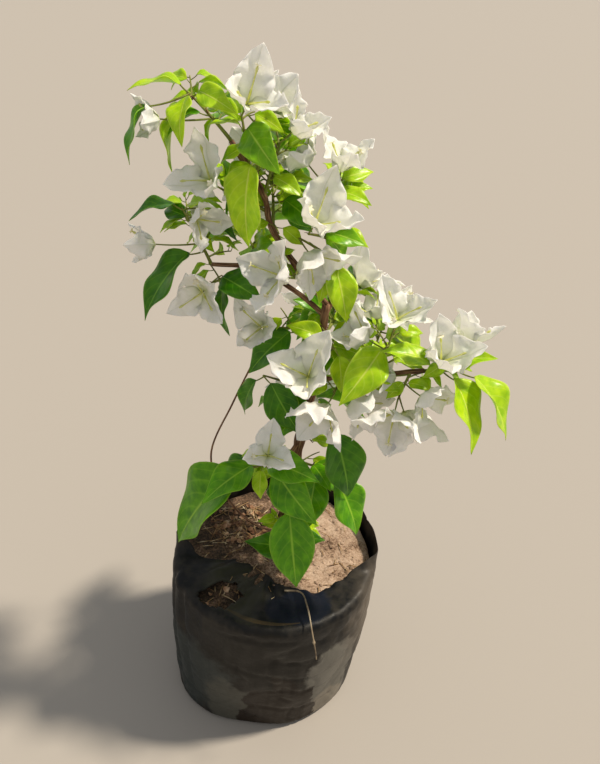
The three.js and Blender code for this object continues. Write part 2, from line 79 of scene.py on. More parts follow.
def feed(tree, node, **inputs):
    """Gives a node its inputs, each by its name, or as i0, i1 and so on.

    A node or its socket is joined to the input, and any other value is set on it.
    """
    for name, value in inputs.items():
        key = name.replace("_", " ")
        named = [socket for socket in node.inputs if socket.enabled and socket.name == key]
        socket = named[0] if named else node.inputs[int(name[1:])]
        if isinstance(value, bpy.types.Node):
            value = next(out for out in value.outputs if out.enabled)
        if isinstance(value, bpy.types.NodeSocket):
            tree.links.new(value, socket)
        else:
            socket.default_value = value


def add(tree, kind, settings=(), stops=(), **inputs):
    """Adds a node with its settings, its inputs, and (place, hex) stops along a colour ramp.

    A setting that is a single word is the node's operation.
    """
    node = tree.nodes.new("ShaderNode" + kind)
    chosen = {"operation": settings} if isinstance(settings, str) else dict(settings)
    for name, value in chosen.items():
        setattr(node, name, value)
    for place, _ in stops[2:]:
        node.color_ramp.elements.new(place)
    for index, (place, code) in enumerate(stops):
        node.color_ramp.elements[index].position = place
        node.color_ramp.elements[index].color = paint(code)
    feed(tree, node, **inputs)
    return node


def finish_named(name):
    """A new material, its nodes, its plain shader, and where its surface is in metres."""
    material = bpy.data.materials.new(name)
    material.use_nodes = True
    tree = material.node_tree
    where = tree.nodes.new("ShaderNodeTexCoord").outputs["Object"]
    return material, tree, tree.nodes["Principled BSDF"], where


# %% Pieces
def piece(name, bm, *materials, smooth=True):
    """Turns a bmesh in millimetres into a piece of the object, which rides on its one body."""
    bmesh.ops.scale(bm, vec=(MM, MM, MM), verts=bm.verts)
    mesh = bpy.data.meshes.new(name)
    bm.to_mesh(mesh)
    bm.free()
    mesh.shade_smooth() if smooth else mesh.shade_flat()
    for material in materials:
        mesh.materials.append(material)
    made = bpy.data.objects.new(name, mesh)
    bpy.context.scene.collection.objects.link(made)
    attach(made, "root")
    print(name, len(mesh.polygons), "faces")
    return made


def joined(parts):
    """One bmesh of many finished parts, each of which is freed."""
    whole = bmesh.new()
    whole.loops.layers.uv.new("UVMap")
    for part in parts:
        mesh = bpy.data.meshes.new("part")
        part.to_mesh(mesh)
        part.free()
        whole.from_mesh(mesh)
        bpy.data.meshes.remove(mesh)
    return whole


# %% Sheets and tubes from a grid
SAME_POINT = 0.002


def sheet(columns, rows, place, thick=0.0, closed=False, slot=0, span=(1, 1)):
    """A grid whose points go where place(across, along) says, both from 0 to 1.

    A closed sheet is rolled up into a tube. One with a thickness becomes a thin shell, on the
    other side where that is negative, which turns its faces in until they are reversed. The UV
    map runs from 0 to the span each way.
    """
    bm = bmesh.new()
    uv = bm.loops.layers.uv.new("UVMap")
    bmesh.ops.create_grid(bm, x_segments=columns, y_segments=rows, size=0.5, calc_uvs=True)
    for vertex in bm.verts:
        across, along = vertex.co.x + 0.5, vertex.co.y + 0.5
        for loop in vertex.link_loops:
            loop[uv].uv = (across * span[0], along * span[1])
        vertex.co = place(across, along)
    bmesh.ops.remove_doubles(bm, verts=bm.verts, dist=SAME_POINT)
    bmesh.ops.dissolve_degenerate(bm, dist=SAME_POINT, edges=bm.edges)
    if closed:
        rims = [edge for edge in bm.edges if edge.is_boundary]
        bmesh.ops.holes_fill(bm, edges=rims, sides=0)
        bmesh.ops.recalc_face_normals(bm, faces=bm.faces)
    if thick:
        bmesh.ops.solidify(bm, geom=bm.faces[:], thickness=thick)
    if thick < 0:
        bmesh.ops.reverse_faces(bm, faces=bm.faces)
    for face in bm.faces:
        face.material_index = slot
    return bm


# %% [markdown]
# ## Camera
#
# The photo was taken standing, looking down on the bush, with the phone tipped a little to one
# side. The camera's place and turn were worked out from the round rim and foot of the bag.

# %% Camera from the photo
CAMERA_PLACE = Vector((8, -472, 737))
CAMERA_DOWN = 34
CAMERA_ROLL = 4.5
PHOTO_HEIGHT_PX = 764
FOCAL_PX = 620
SENSOR = 36
NEAREST = 0.02


def aim_camera():
    """Sets the lens from the focal length in pixels, and turns and places the camera."""
    down = math.radians(CAMERA_DOWN)
    roll = math.radians(CAMERA_ROLL)
    ahead = Vector((0, math.cos(down), -math.sin(down)))
    above = Vector((0, math.sin(down), math.cos(down)))
    aside = Vector((1, 0, 0))
    right = aside * math.cos(roll) + above * math.sin(roll)
    top = above * math.cos(roll) - aside * math.sin(roll)
    lens = bpy.data.cameras.new("phone")
    lens.sensor_fit = "VERTICAL"
    lens.sensor_height = SENSOR
    lens.lens = FOCAL_PX / PHOTO_HEIGHT_PX * SENSOR
    lens.clip_start = NEAREST
    camera = bpy.data.objects.new("phone", lens)
    turn = Matrix((right, top, -ahead)).transposed().to_4x4()
    camera.matrix_world = Matrix.Translation(CAMERA_PLACE * MM) @ turn
    bpy.context.scene.collection.objects.link(camera)
    bpy.context.scene.camera = camera
    print("lens", round(lens.lens, 1), "mm on a sensor", SENSOR, "mm high")


aim_camera()

# %% [markdown]
# ## Studio
#
# The real plant stands in high sun that comes from the right and a little from behind, so the
# leaves glow at their edges and each throws a shadow on the next. A large lamp hung near the
# plant would do it, but it would light the floor in a pool that ends in a grey band. A sun lamp,
# widened for soft shadows, lights floor and plant alike, and a pale sky fills the shade.

# %% Floor, sun and sky
FLOOR = "#aba49c"
FLOOR_REACH = 400
SUN = {"from": (0.6, 0.12, 1), "wide": 5, "strength": 3.9, "colour": "#fff3df"}
SKY = {"strength": 0.5, "colour": "#f1f3f4"}


def lay_floor():
    bm = bmesh.new()
    bmesh.ops.create_circle(bm, cap_ends=True, segments=96, radius=FLOOR_REACH)
    mesh = bpy.data.meshes.new("floor")
    bm.to_mesh(mesh)
    bm.free()
    floor = bpy.data.objects.new("floor", mesh)
    bpy.context.scene.collection.objects.link(floor)
    pale, tree, shader, _ = finish_named("pale_studio_floor")
    feed(tree, shader, Base_Color=paint(FLOOR), Roughness=0.9)
    mesh.materials.append(pale)


def hang_sun():
    lamp = bpy.data.lights.new("sun", "SUN")
    lamp.angle = math.radians(SUN["wide"])
    lamp.energy = SUN["strength"]
    lamp.color = paint(SUN["colour"])[:3]
    hung = bpy.data.objects.new("sun", lamp)
    hung.matrix_world = Vector(SUN["from"]).to_track_quat("Z", "Y").to_matrix().to_4x4()
    bpy.context.scene.collection.objects.link(hung)


def open_sky():
    world = bpy.data.worlds.new("sky")
    world.use_nodes = True
    tree = world.node_tree
    feed(tree, tree.nodes["Background"], Color=paint(SKY["colour"]), Strength=SKY["strength"])
    bpy.context.scene.world = world


lay_floor()
hang_sun()
open_sky()
bpy.context.scene.view_settings.view_transform = "Standard"
print("sun from", SUN["from"], "and sky at", SKY["strength"])

# %% [markdown]
# ## The rule the plant grows by
#
# A twig, a leaf or a blossom has a foot, a heading on the compass and a lift above level. The
# solids were grown from a table of limbs and sprays and a seeded rule that turns a leaf aside
# where there is no room for it. The same table and rule are written here, so each leaf of the
# finer plant grows where its solid stands.

# %% Directions and seeded numbers
GOLDEN = 137.5


def direction(heading, lift):
    level = math.cos(math.radians(lift))
    east = level * math.cos(math.radians(heading))
    north = level * math.sin(math.radians(heading))
    return Vector((east, north, math.sin(math.radians(lift))))


def seeded(seed):
    """A repeatable stream of numbers from 0 to 1."""
    whole = 0xFFFFFFFF
    state = seed & whole
    while True:
        state = (state + 0x6D2B79F5) & whole
        mixed = ((state ^ (state >> 15)) * (1 | state)) & whole
        mixed = ((mixed + (((mixed ^ (mixed >> 7)) * (61 | mixed)) & whole)) & whole) ^ mixed
        yield ((mixed ^ (mixed >> 14)) & whole) / 4294967296


def mix(low, high, share):
    return low + (high - low) * share


def clamp(value, low=0.0, high=1.0):
    return max(low, min(high, value))


def swell(at, middle, wide):
    """1 at the middle, a third one width away, and next to nothing beyond two."""
    return math.exp(-(((at - middle) / wide) ** 2))


# %% Curves
def spline(points):
    """A curve through points, drawn out by the square root of their distances."""
    points = [Vector(p) for p in points]
    before = points[0] * 2 - points[1]
    after = points[-1] * 2 - points[-2]
    padded = [before, *points, after]

    def at(t):
        place = t * (len(points) - 1)
        span = min(int(place), len(points) - 2)
        share = place - span
        p0, p1, p2, p3 = padded[span : span + 4]
        d0, d1, d2 = ((b - a).length ** 0.5 for a, b in ((p0, p1), (p1, p2), (p2, p3)))
        leave = ((p1 - p0) / d0 - (p2 - p0) / (d0 + d1) + (p2 - p1) / d1) * d1
        arrive = ((p2 - p1) / d1 - (p3 - p1) / (d1 + d2) + (p3 - p2) / d2) * d1
        second = (p2 - p1) * 3 - leave * 2 - arrive
        third = (p1 - p2) * 2 + leave + arrive
        return p1 + leave * share + second * share**2 + third * share**3

    return at


def arch(start, middle, end):
    """A bow between two points, drawn towards a third."""
    return lambda t: start * (1 - t) ** 2 + middle * (2 * t * (1 - t)) + end * t**2


# %% Limbs
SOIL_TOP = 186
GAP = 0.3
limbs = {
    "trunk": {
        "points": [(-5, 10, SOIL_TOP + GAP), (5, 5, 270), (14, 1, 365), (20, 0, 410), (25, 0, 500)],
        "radius": (5.6, 2.9),
    },
    "left_leader": {
        "grows": ("trunk", 1),
        "points": [(-4, 0, 534), (-25, 0, 565), (-30, 0, 586), (-56, 0, 626)],
        "radius": (2.6, 1.9),
    },
    "upper_right_bough": {
        "grows": ("trunk", 0.965),
        "points": [(32, 6, 512), (24, 6, 545), (14, 3, 584)],
        "radius": (2.2, 1.6),
    },
    "right_bough": {
        "grows": ("trunk", 0.78),
        "points": [(50, -8, 437), (77, -20, 447), (112, -28, 459)],
        "radius": (2.7, 1.8),
    },
    "left_bough": {
        "grows": ("trunk", 0.97),
        "points": [(0, 5, 506), (-38, 5, 525), (-72, 0, 528)],
        "radius": (2.4, 1.7),
    },
    "low_front_bough": {
        "grows": ("trunk", 0.45),
        "points": [(0, -16, 340), (-12, -32, 345)],
        "radius": (2.3, 1.8),
    },
    "back_bough": {
        "grows": ("trunk", 0.66),
        "points": [(22, 24, 408), (24, 52, 428)],
        "radius": (2.4, 1.7),
    },
    "bare_shoot": {
        "grows": ("trunk", 0.06),
        "points": [(-36, 18, 212), (-70, 24, 254), (-80, 26, 300), (-57, 26, 370), (-34, 25, 430)],
        "radius": (1.3, 0.8),
    },
}


def limb_curve(name):
    limb = limbs[name]
    points = list(limb["points"])
    if "grows" in limb:
        parent, share = limb["grows"]
        points.insert(0, limb_curve(parent)(share))
    return spline(points)


# %% [markdown]
# ## Sprays
#
# A spray is one green stem with its leaves and blossom. Its leaves could all be left to chance,
# but then no leaf would hang where the real one does, so the front sprays are placed one by one
# and only the back, which the photo doesn't show, is left to the rule. Those sprays state no
# rows but how many leaves and blossoms they bear.
#
# Each spray states the limb it leaves and how far along, then its stem's heading, lift, length
# and seed. A leaf row holds its place on the stem, heading, lift and length. A blossom row holds
# its place, heading, lift, bract length and stalk, then its roll and opening where they aren't
# left to chance. The last value is the tint of the spray's leaves.

# %% Sprays
sprays = {
    "spray_top_left": (
        "left_leader", 1, 180, 45, 42, 11,
        [(0.9, 168, -60, 54), (0.93, -26, 10, 38), (0.96, -104, -48, 36), (1, -166, 12, 38)],
        [(0.45, -156, 0, 23, 38)],
        "young",
    ),
    "spray_top": (
        "left_leader", 0.88, 150, 78, 38, 12,
        [(0.72, -66, -14, 48), (0.7, -150, 20, 26)],
        [(1, -60, 45, 38, 12, 8, 44)],
        "fresh",
    ),
    "spray_top_right": (
        "left_leader", 0.76, -12, 75, 42, 13,
        [(0.12, 6, 2, 48), (0.5, 30, 8, 40)],
        [(1, -30, 58, 31, 11, 30, 44)],
        "fresh",
    ),
    "spray_upper_left": (
        "left_leader", 0.62, 172, 20, 40, 14,
        [(0.6, 150, 20, 30)],
        [(0.96, -130, 48, 40, 15, 40, 50)],
        "fresh",
    ),
    "spray_centre_front": (
        "left_leader", 0.83, -78, 60, 32, 15,
        [(1, -106, -54, 66), (0.5, -172, -34, 32)],
        [],
        "young",
    ),
    "spray_middle_front": (
        "left_leader", 0.22, -95, 5, 24, 16,
        [],
        [(1, -140, 20, 42, 11, 0, 50)],
        "fresh",
    ),
    "spray_left_shoot": (
        "left_bough", 1, 165, 60, 50, 17,
        [(0.22, -143, -45, 66), (0.95, -162, 2, 38), (0.7, 150, 10, 30)],
        [(0.35, -170, -2, 27, 36), (0.9, -40, 10, 30, 14, 60, 50)],
        "deep",
    ),
    "spray_left_low": (
        "left_bough", 0.72, -172, -30, 38, 18,
        [(0.72, -48, 6, 46), (0.47, -72, -54, 50)],
        [(1, -98, 2, 36, 11, 30, 50)],
        "deep",
    ),
    "spray_right_shoulder": (
        "upper_right_bough", 0.76, -135, 20, 24, 20,
        [(0.45, -22, 2, 34)],
        [(1, -50, 55, 44, 10, 0, 42)],
        "fresh",
    ),
    "spray_upper_right": (
        "upper_right_bough", 1, 48, 30, 18, 19,
        [(0.5, 40, 25, 34)],
        [(1, -58, 50, 38, 12, 45, 48), (0.75, -172, 58, 31, 28)],
        "fresh",
    ),
    "spray_middle_right": (
        "upper_right_bough", 0.6, -153, 34, 37, 35,
        [(0.15, -35, -32, 56)],
        [(1, -78, -14, 50, 11, 90, 50)],
        "young",
    ),
    "spray_centre_left": (
        "trunk", 0.93, 176, -4, 48, 22,
        [(0.28, -136, -34, 64)],
        [(1, -112, 28, 35, 13)],
        "deep",
    ),
    "spray_centre_right": (
        "trunk", 0.88, -55, 30, 26, 23,
        [(0.35, -14, 0, 38), (1, -62, -60, 36), (0.6, -140, 10, 44)],
        [],
        "young",
    ),
    "spray_centre_low": (
        "trunk", 0.81, -100, 18, 26, 24,
        [],
        [(1, -115, 50, 47, 10, 8, 46)],
        "fresh",
    ),
    "spray_inner_low": (
        "right_bough", 0.27, -105, -14, 24, 25,
        [],
        [(1, -120, -26, 46, 12, 55, 46), (0.6, -42, -14, 38, 20)],
        "fresh",
    ),
    "spray_inner_top": (
        "right_bough", 0.66, 58, 70, 42, 26,
        [(0.62, -130, -24, 64)],
        [(1, -85, 66, 37, 12), (0.5, -160, 34, 36, 24)],
        "young",
    ),
    "spray_right_tip": (
        "right_bough", 1, -8, 8, 28, 27,
        [(0.25, -167, 30, 46), (0.5, -24, 40, 42), (0.5, -52, -48, 66), (1, -24, -48, 66)],
        [(0.3, -75, 60, 42, 14), (1, 60, 62, 36, 22)],
        "young",
    ),
    "spray_right_low": (
        "right_bough", 0.9, -122, -46, 26, 28,
        [],
        [(1, -122, -26, 48, 10, 90, 52), (0.45, -64, -10, 40, 14, 60, 58)],
        "fresh",
    ),
    "spray_low_left": (
        "trunk", 0.74, 174, 14, 48, 29,
        [(0.96, -166, -60, 46), (1, -46, -44, 60), (0.4, -62, -44, 32)],
        [],
        "deep",
    ),
    "spray_low_right": (
        "trunk", 0.6, -30, 0, 22, 30,
        [(1, -50, -55, 72)],
        [],
        "deep",
    ),
    "spray_low_front": (
        "low_front_bough", 1, -150, 8, 16, 31,
        [
            (1, -162, -42, 112), (0.8, -136, -16, 58), (0.5, -39, 18, 52),
            (0.35, -49, -24, 64), (0.65, -94, -46, 28),
        ],
        [(0.45, -80, 58, 34, 29, 20, 52)],
        "full",
    ),
    "spray_foot_front": (
        "trunk", 0.33, -95, 12, 44, 32,
        [(1, -77, -46, 78)],
        [],
        "full",
    ),
    "spray_foot_right": (
        "trunk", 0.38, -25, 3, 34, 33,
        [(0.3, -9, -14, 53), (0.7, -96, -44, 59), (1, -40, -58, 66)],
        [],
        "full",
    ),
    "spray_foot": (
        "trunk", 0.13, -70, 6, 52, 34,
        [(1, -160, 26, 50), (0.6, -20, 20, 34)],
        [],
        "deep",
    ),
    "spray_back_crown": ("left_leader", 0.92, 78, 40, 34, 41, 3, 1, "fresh"),
    "spray_back_top": ("left_leader", 0.46, 96, 32, 60, 42, 5, 2, "full"),
    "spray_back_shoulder": ("trunk", 0.9, 66, 14, 66, 43, 5, 2, "full"),
    "spray_back_left": ("left_bough", 0.6, 112, 16, 48, 44, 4, 1, "fresh"),
    "spray_back_right": ("right_bough", 0.52, 74, 16, 62, 45, 5, 2, "young"),
    "spray_back_middle": ("back_bough", 1, 84, 22, 46, 46, 6, 3, "full"),
    "spray_back_low": ("trunk", 0.46, 88, 10, 58, 47, 5, 1, "full"),
    "spray_back_foot": ("trunk", 0.27, 135, 8, 44, 48, 3, 0, "deep"),
}

# %% [markdown]
# A blade is a leaf or a bract. Its formula says where each point of it lies, from root to tip
# and from one edge to the other: folded up along its midrib and drooping towards its tip.

# %% Blades
LEAF = {"half_width": 0.28, "peak": 0.76, "full": 0.82, "taper": 0.35, "fold": 0.32, "droop": 38}
BRACT = {"half_width": 0.39, "peak": 0.85, "full": 0.64, "taper": 0.28, "fold": 0.22, "droop": -8}
BRACT_OPEN = (40, 58)
BRACT_ROOT = 1.1
MIDDLE = Vector((20, 35, 0))
LEAN_OUT = 0.9
PETIOLE = 0.2
PETIOLE_RISE = 34
STEM_RADII = (1.7, 1.1)
STEM_ARCH = 0.05
STALK_RADIUS = 1.2


def outline(form, t):
    """Half-width as a share of the widest: peak moves it, full rounds it, taper narrows the tip."""
    bow = max(math.sin(math.pi * t ** form["peak"]), 0)
    return bow ** form["full"] * (1 - form["taper"] * t**3)


def blade_point(blade, t, side, edge=outline):
    form = blade["form"]
    length = blade["length"]
    bend = math.radians(form["droop"])
    forward = math.sin(bend * t) / bend * length
    fall = (1 - math.cos(bend * t)) / bend * length
    wide = form["half_width"] * edge(form, t) * length * side
    rise = abs(wide) * form["fold"] - fall
    return blade["root"] + blade["ahead"] * forward + blade["face"] * rise + blade["across"] * wide


def make_blade(root, ahead, length, face, roll, form):
    """A blade's place and shape, its face turned square to the way it points and then rolled."""
    upper = (face - ahead * face.dot(ahead)).normalized()
    upper = Matrix.Rotation(math.radians(roll), 3, ahead) @ upper
    return {
        "root": root, "ahead": ahead, "length": length, "face": upper,
        "across": ahead.cross(upper), "form": form,
    }


# %% [markdown]
# On the real bush, leaves that touch push each other aside. A physics run could settle them, and
# would settle them differently each time. Here every leaf, stalk and limb marks points in space
# with the room it keeps. A new leaf tries ever wider turns until all its marks are free.

# %% Room for each blade
BLADE_ROOM = 3.3
LIMB_ROOM = 2.3
OWN_ROOM = 0.45
TRIES = 6
TURN = 9
TILTS = (0, 14, -14, 28)
STRETCH = 0.12
SHRINK = 0.06
CURVE_MARKS = 40
MARK_STEP = 2
ROUNDING = 0.01
taken = {"point": np.zeros((0, 3)), "room": np.zeros(0), "owner": np.zeros(0, int)}


def take(points, rooms, owner):
    """Marks points as occupied, each with the room it keeps and the number of its owner."""
    taken["point"] = np.vstack([taken["point"], np.array([tuple(p) for p in points])])
    taken["room"] = np.append(taken["room"], rooms)
    taken["owner"] = np.append(taken["owner"], np.full(len(points), owner))


def take_curve(curve, radii, owner):
    shares = [step / CURVE_MARKS for step in range(CURVE_MARKS + 1)]
    take([curve(s) for s in shares], [mix(*radii, s) + LIMB_ROOM for s in shares], owner)


def is_free(marks, owner, share, near):
    """True where every mark is outside the room of all others, and of a share of its own.

    With near under 1, others may be closer.
    """
    marks = np.array([tuple(m) for m in marks])
    room = np.where(taken["owner"] == owner, taken["room"] * share, taken["room"]) * near
    middle = marks.mean(axis=0)
    reach = np.linalg.norm(marks - middle, axis=1).max() + ROUNDING
    close_by = np.linalg.norm(taken["point"] - middle, axis=1) < reach + room
    if not close_by.any():
        return True
    apart = marks[:, None, :] - taken["point"][close_by][None, :, :]
    return bool(((apart**2).sum(axis=2) >= room[close_by][None, :] ** 2).all())


def blade_marks(blade):
    marks = []
    form = blade["form"]
    rows = math.ceil(blade["length"] / MARK_STEP)
    for row in range(1, rows + 1):
        t = row / rows
        columns = math.ceil(form["half_width"] * outline(form, t) * blade["length"] / MARK_STEP)
        for column in range(-columns, columns + 1):
            marks.append(blade_point(blade, t, column / max(columns, 1)))
    return marks


def settle(blades, foot, end, spray):
    """Takes the room of a leaf or blossom and of its stalk, if all of it is free.

    A finer twig may have a near under 1, and a reach, the box that its blades must stay in.
    """
    owner = spray["number"]
    near = spray["near"]
    marks = [mark for blade in blades for mark in blade_marks(blade)]
    if "reach" in spray:
        low, high = spray["reach"]
        spread = np.array([tuple(mark) for mark in marks])
        if (spread < low).any() or (spread > high).any():
            return False
    steps = math.ceil((end - foot).length / MARK_STEP)
    stalk = [foot.lerp(end, step / steps) for step in range(1, steps + 1)]
    if not is_free(marks, owner, OWN_ROOM, near) or not is_free(stalk, owner, 0, near):
        return False
    take(marks, [BLADE_ROOM] * len(marks), owner)
    take(stalk, [STALK_RADIUS + LIMB_ROOM] * len(stalk), owner)
    return True


def ways(heading, lift, tries):
    """Turns and tilts that a row tries, ever wider, with its stalk longer and blades smaller."""
    for step in range(tries + 1):
        for tilt in TILTS:
            for turn in (step * TURN, -step * TURN) if step else (0,):
                yield heading + turn, lift + tilt, 1 + STRETCH * step, 1 - SHRINK * step


# %% Rows of the back sprays
RULED_PULL = 0.45
RULED_LEAF = {"lift": (-34, 40), "size": (44, 24)}
RULED_BLOSSOM = {"lift": (15, 45), "size": (36, 10), "stalk": 14}


def vary(least, spread, draw):
    return least + spread * next(draw)


def ruled_rows(heading, lift, leaf_count, blossom_count, draw):
    """Rows of a spray that states only counts: each next leaf turns by the golden angle."""
    leaves = []
    for index in range(leaf_count):
        share = (index + 1) / leaf_count
        turned = heading + (index * GOLDEN) % 360 - 180
        aim = direction(turned, -10).lerp(direction(heading, lift), RULED_PULL)
        facing = math.degrees(math.atan2(aim.y, aim.x))
        tilt = vary(*RULED_LEAF["lift"], draw)
        leaves.append((0.3 + 0.7 * share, facing, tilt, vary(*RULED_LEAF["size"], draw)))
    blossoms = []
    for index in range(blossom_count):
        share = 1 - 0.55 * index / blossom_count
        facing = heading + (55 if index % 2 else -35) * (0.6 + next(draw))
        tilt = vary(*RULED_BLOSSOM["lift"], draw)
        size = vary(*RULED_BLOSSOM["size"], draw)
        blossoms.append((share, facing, tilt, size, RULED_BLOSSOM["stalk"]))
    return leaves, blossoms


# %% Leaves find their places
LEAF_ROLL = 24
LEAF_UNEVEN = (0.97, 0.06)
STEEPEST_STALK = 60


def place_leaf(spray, row):
    share, heading, lift, size, *stalk = row
    roll = LEAF_ROLL * (next(spray["draw"]) - 0.5)
    full = size * vary(*LEAF_UNEVEN, spray["draw"])
    petiole = stalk[0] if stalk else PETIOLE * full
    foot = spray["curve"](share)
    for turned, tilted, stretch, shrink in ways(heading, lift, spray["tries"]):
        ahead = direction(turned, tilted)
        rise = direction(turned, min(tilted + PETIOLE_RISE, STEEPEST_STALK))
        root = foot + rise * (petiole * stretch)
        out = Vector((root.x - MIDDLE.x, root.y - MIDDLE.y, 0))
        face = UP + out * (LEAN_OUT / max(out.length, 1))
        blade = make_blade(root, ahead, full * shrink, face, roll, LEAF)
        if settle([blade], foot, root, spray):
            spray["leaves"].append({"foot": foot, "blade": blade, "tint": spray["tint"]})
            return


# %% Blossoms find their places
BLOSSOM_ROLL = 120
BRACT_GROWTH = (0.94, 0.06)


def place_blossom(spray, row):
    chance = [BLOSSOM_ROLL * next(spray["draw"]), mix(*BRACT_OPEN, next(spray["draw"]))]
    share, heading, lift, size, reach, *stated = row
    roll, wide_open = [*stated, *chance[len(stated) :]]
    foot = spray["curve"](share)
    for turned, tilted, stretch, shrink in ways(heading, lift, spray["tries"]):
        axis = direction(turned, tilted)
        heart = foot + axis * (reach * stretch)
        level = Matrix.Rotation(math.radians(roll), 3, axis) @ axis.cross(UP).normalized()
        blades = []
        for index in range(3):
            spoke = Matrix.Rotation(math.radians(120 * index), 3, axis) @ level
            ahead = axis * math.cos(math.radians(wide_open))
            ahead = ahead + spoke * math.sin(math.radians(wide_open))
            length = size * shrink * (BRACT_GROWTH[0] + BRACT_GROWTH[1] * index)
            blades.append(make_blade(heart + spoke * BRACT_ROOT, ahead, length, axis, 0, BRACT))
        if settle(blades, foot, heart, spray):
            made = {"foot": foot, "heart": heart, "axis": axis, "blades": blades}
            spray["blossoms"].append(made)
            return


# %% Grow every spray
def start_spray(number, name):
    limb, at, heading, lift, length, seed, leaves, blossoms, tint = sprays[name]
    start = limb_curve(limb)(at)
    aim = direction(heading, lift)
    middle = start + aim * (length / 2) + UP * (STEM_ARCH * length)
    curve = arch(start, middle, start + aim * length)
    draw = seeded(seed)
    if isinstance(leaves, int):
        leaves, blossoms = ruled_rows(heading, lift, leaves, blossoms, draw)
    take_curve(curve, STEM_RADII, number)
    return {
        "name": name, "number": number, "curve": curve, "draw": draw, "tint": tint,
        "aim": aim, "length": length, "rows": (leaves, blossoms), "leaves": [], "blossoms": [],
        "near": 1.0, "tries": TRIES,
    }


for number, (name, limb) in enumerate(limbs.items()):
    take_curve(limb_curve(name), limb["radius"], number)
grown = [start_spray(len(limbs) + number, name) for number, name in enumerate(sprays)]
for spray in grown:
    for row in spray["rows"][1]:
        place_blossom(spray, row)
for spray in grown:
    for row in spray["rows"][0]:
        place_leaf(spray, row)
leaf_count = sum(len(spray["leaves"]) for spray in grown)
blossom_count = sum(len(spray["blossoms"]) for spray in grown)
print("grew", leaf_count, "leaves and", blossom_count, "blossoms")

# %% [markdown]
# ## Finer twigs
#
# A real stem carries far more small leaves than the solids can hold. Particles could scatter
# them, but they would cut through each other and an export drops them. So the rule goes on: side
# twigs leave each stem at the golden angle, their leaves look for room as the large ones did,
# only closer, and each keeps inside the box that its own spray already fills. The front sprays
# send theirs to the back, because there the photo shows which gaps stay open.
#
# Before them come the leaves and blossoms that the photo shows and the solids leave out. Each is
# a row of its spray, as above, and may stand a little outside the spray's box.

# %% What a spray already fills
FINE_ROOM = 0.5
FINE_TRIES = 2
REACH_SLACK = 3


def reach_of(number):
    points = taken["point"][taken["owner"] == number]
    return points.min(axis=0) - REACH_SLACK, points.max(axis=0) + REACH_SLACK


for spray in grown:
    spray["reach"] = reach_of(spray["number"])

# %% Leaves and blossoms that the solids leave out
EXTRA_SLACK = 22
# The spray, the leaf's tint or nothing for a blossom, and the row.
extras = (
    ("spray_right_low", "", (0.9, -24, -52, 46, 14, 30, 48)),
    ("spray_top", "young", (0.9, 126, 26, 24, 5)),
    ("spray_top_right", "young", (0.3, -36, 8, 28, 6)),
    ("spray_centre_right", "deep", (0.4, -18, -16, 28, 6)),
    ("spray_middle_right", "young", (0.1, -96, -22, 38, 6)),
    ("spray_left_shoot", "deep", (0.6, 72, -52, 28, 6)),
    ("spray_left_shoot", "", (0.8, 72, -10, 30, 14)),
    ("spray_top_left", "full", (1, -156, -46, 44, 28)),
    ("spray_top_left", "full", (0.5, -162, -16, 30, 8)),
    ("spray_inner_low", "", (0.6, 6, 2, 34, 22)),
    ("spray_right_low", "", (0.1, -168, -34, 26, 12)),
    ("spray_right_shoulder", "fresh", (0.6, 12, -40, 34, 8)),
    ("spray_upper_left", "fresh", (0.5, -66, -28, 28, 6)),
    ("spray_right_low", "young", (0.35, -150, -20, 22, 4)),
    ("spray_right_low", "young", (0.5, -20, 10, 20, 4)),
    ("spray_right_low", "young", (0.75, -165, 5, 18, 4)),
    ("spray_foot_right", "full", (0.5, -60, -10, 34, 6)),
)
by_name = {spray["name"]: spray for spray in grown}
for name, tint, row in extras:
    low, high = by_name[name]["reach"]
    reach = (low - EXTRA_SLACK, high + EXTRA_SLACK)
    guest = {**by_name[name], "near": FINE_ROOM, "tries": 1, "reach": reach, "tint": tint}
    place = place_leaf if tint else place_blossom
    place(guest, row)
print(len(extras), "rows added by hand")

# %% Side twigs
TWIG_EVERY = 9
TWIG_START = 0.7
TWIG_SCATTER = 60
TWIG_LENGTH = (12, 24)
TWIG_LIFT = (0, 45)
TWIG_ARCH = 0.12
TWIG_RADII = (0.8, 0.5)
FAR_SIDE = (20, 160)
BLOOM_CHANCE = 0.35
BLOOM = {"lift": 35, "size": (22, 30), "stalk": 8}
LEAF_PLACES = (0.3, 0.5, 0.7, 0.86, 1)
LEAF_TURN = (35, 75)
LEAF_LIFT = (-30, 20)
LEAF_SIZE = (30, 17)
LEAF_VARIES = (0.8, 1.2)
TIP_LEAF_LIFT = 40
TIP_LEAF_SIZE = (7, 12)


def side_twig(spray, share, heading, lift, length, by_hand):
    """A thin twig with its own leaves, or nothing where there is no room for it."""
    foot = spray["curve"](share)
    aim = direction(heading, lift)
    curve = arch(foot, foot + aim * (length / 2) + UP * (TWIG_ARCH * length), foot + aim * length)
    marks = [curve(step / 6) for step in range(2, 7)]
    if not is_free(marks, spray["number"], OWN_ROOM, FINE_ROOM):
        return None
    take_curve(curve, TWIG_RADII, spray["number"])
    draw = spray["draw"]
    closer = {"near": FINE_ROOM, "tries": FINE_TRIES, "leaves": [], "blossoms": []}
    twig = {**spray, **closer, "curve": curve}
    if not by_hand and next(draw) < BLOOM_CHANCE:
        size = mix(*BLOOM["size"], next(draw))
        place_blossom(twig, (1, heading, BLOOM["lift"], size, BLOOM["stalk"]))
    for index, place in enumerate(LEAF_PLACES):
        turned = heading + (1 if index % 2 else -1) * mix(*LEAF_TURN, next(draw))
        size = mix(*LEAF_SIZE, place) * mix(*LEAF_VARIES, next(draw))
        place_leaf(twig, (place, turned, mix(*LEAF_LIFT, next(draw)), size))
    place_leaf(twig, (1, heading, TIP_LEAF_LIFT, mix(*TIP_LEAF_SIZE, next(draw))))
    return twig if twig["leaves"] else None


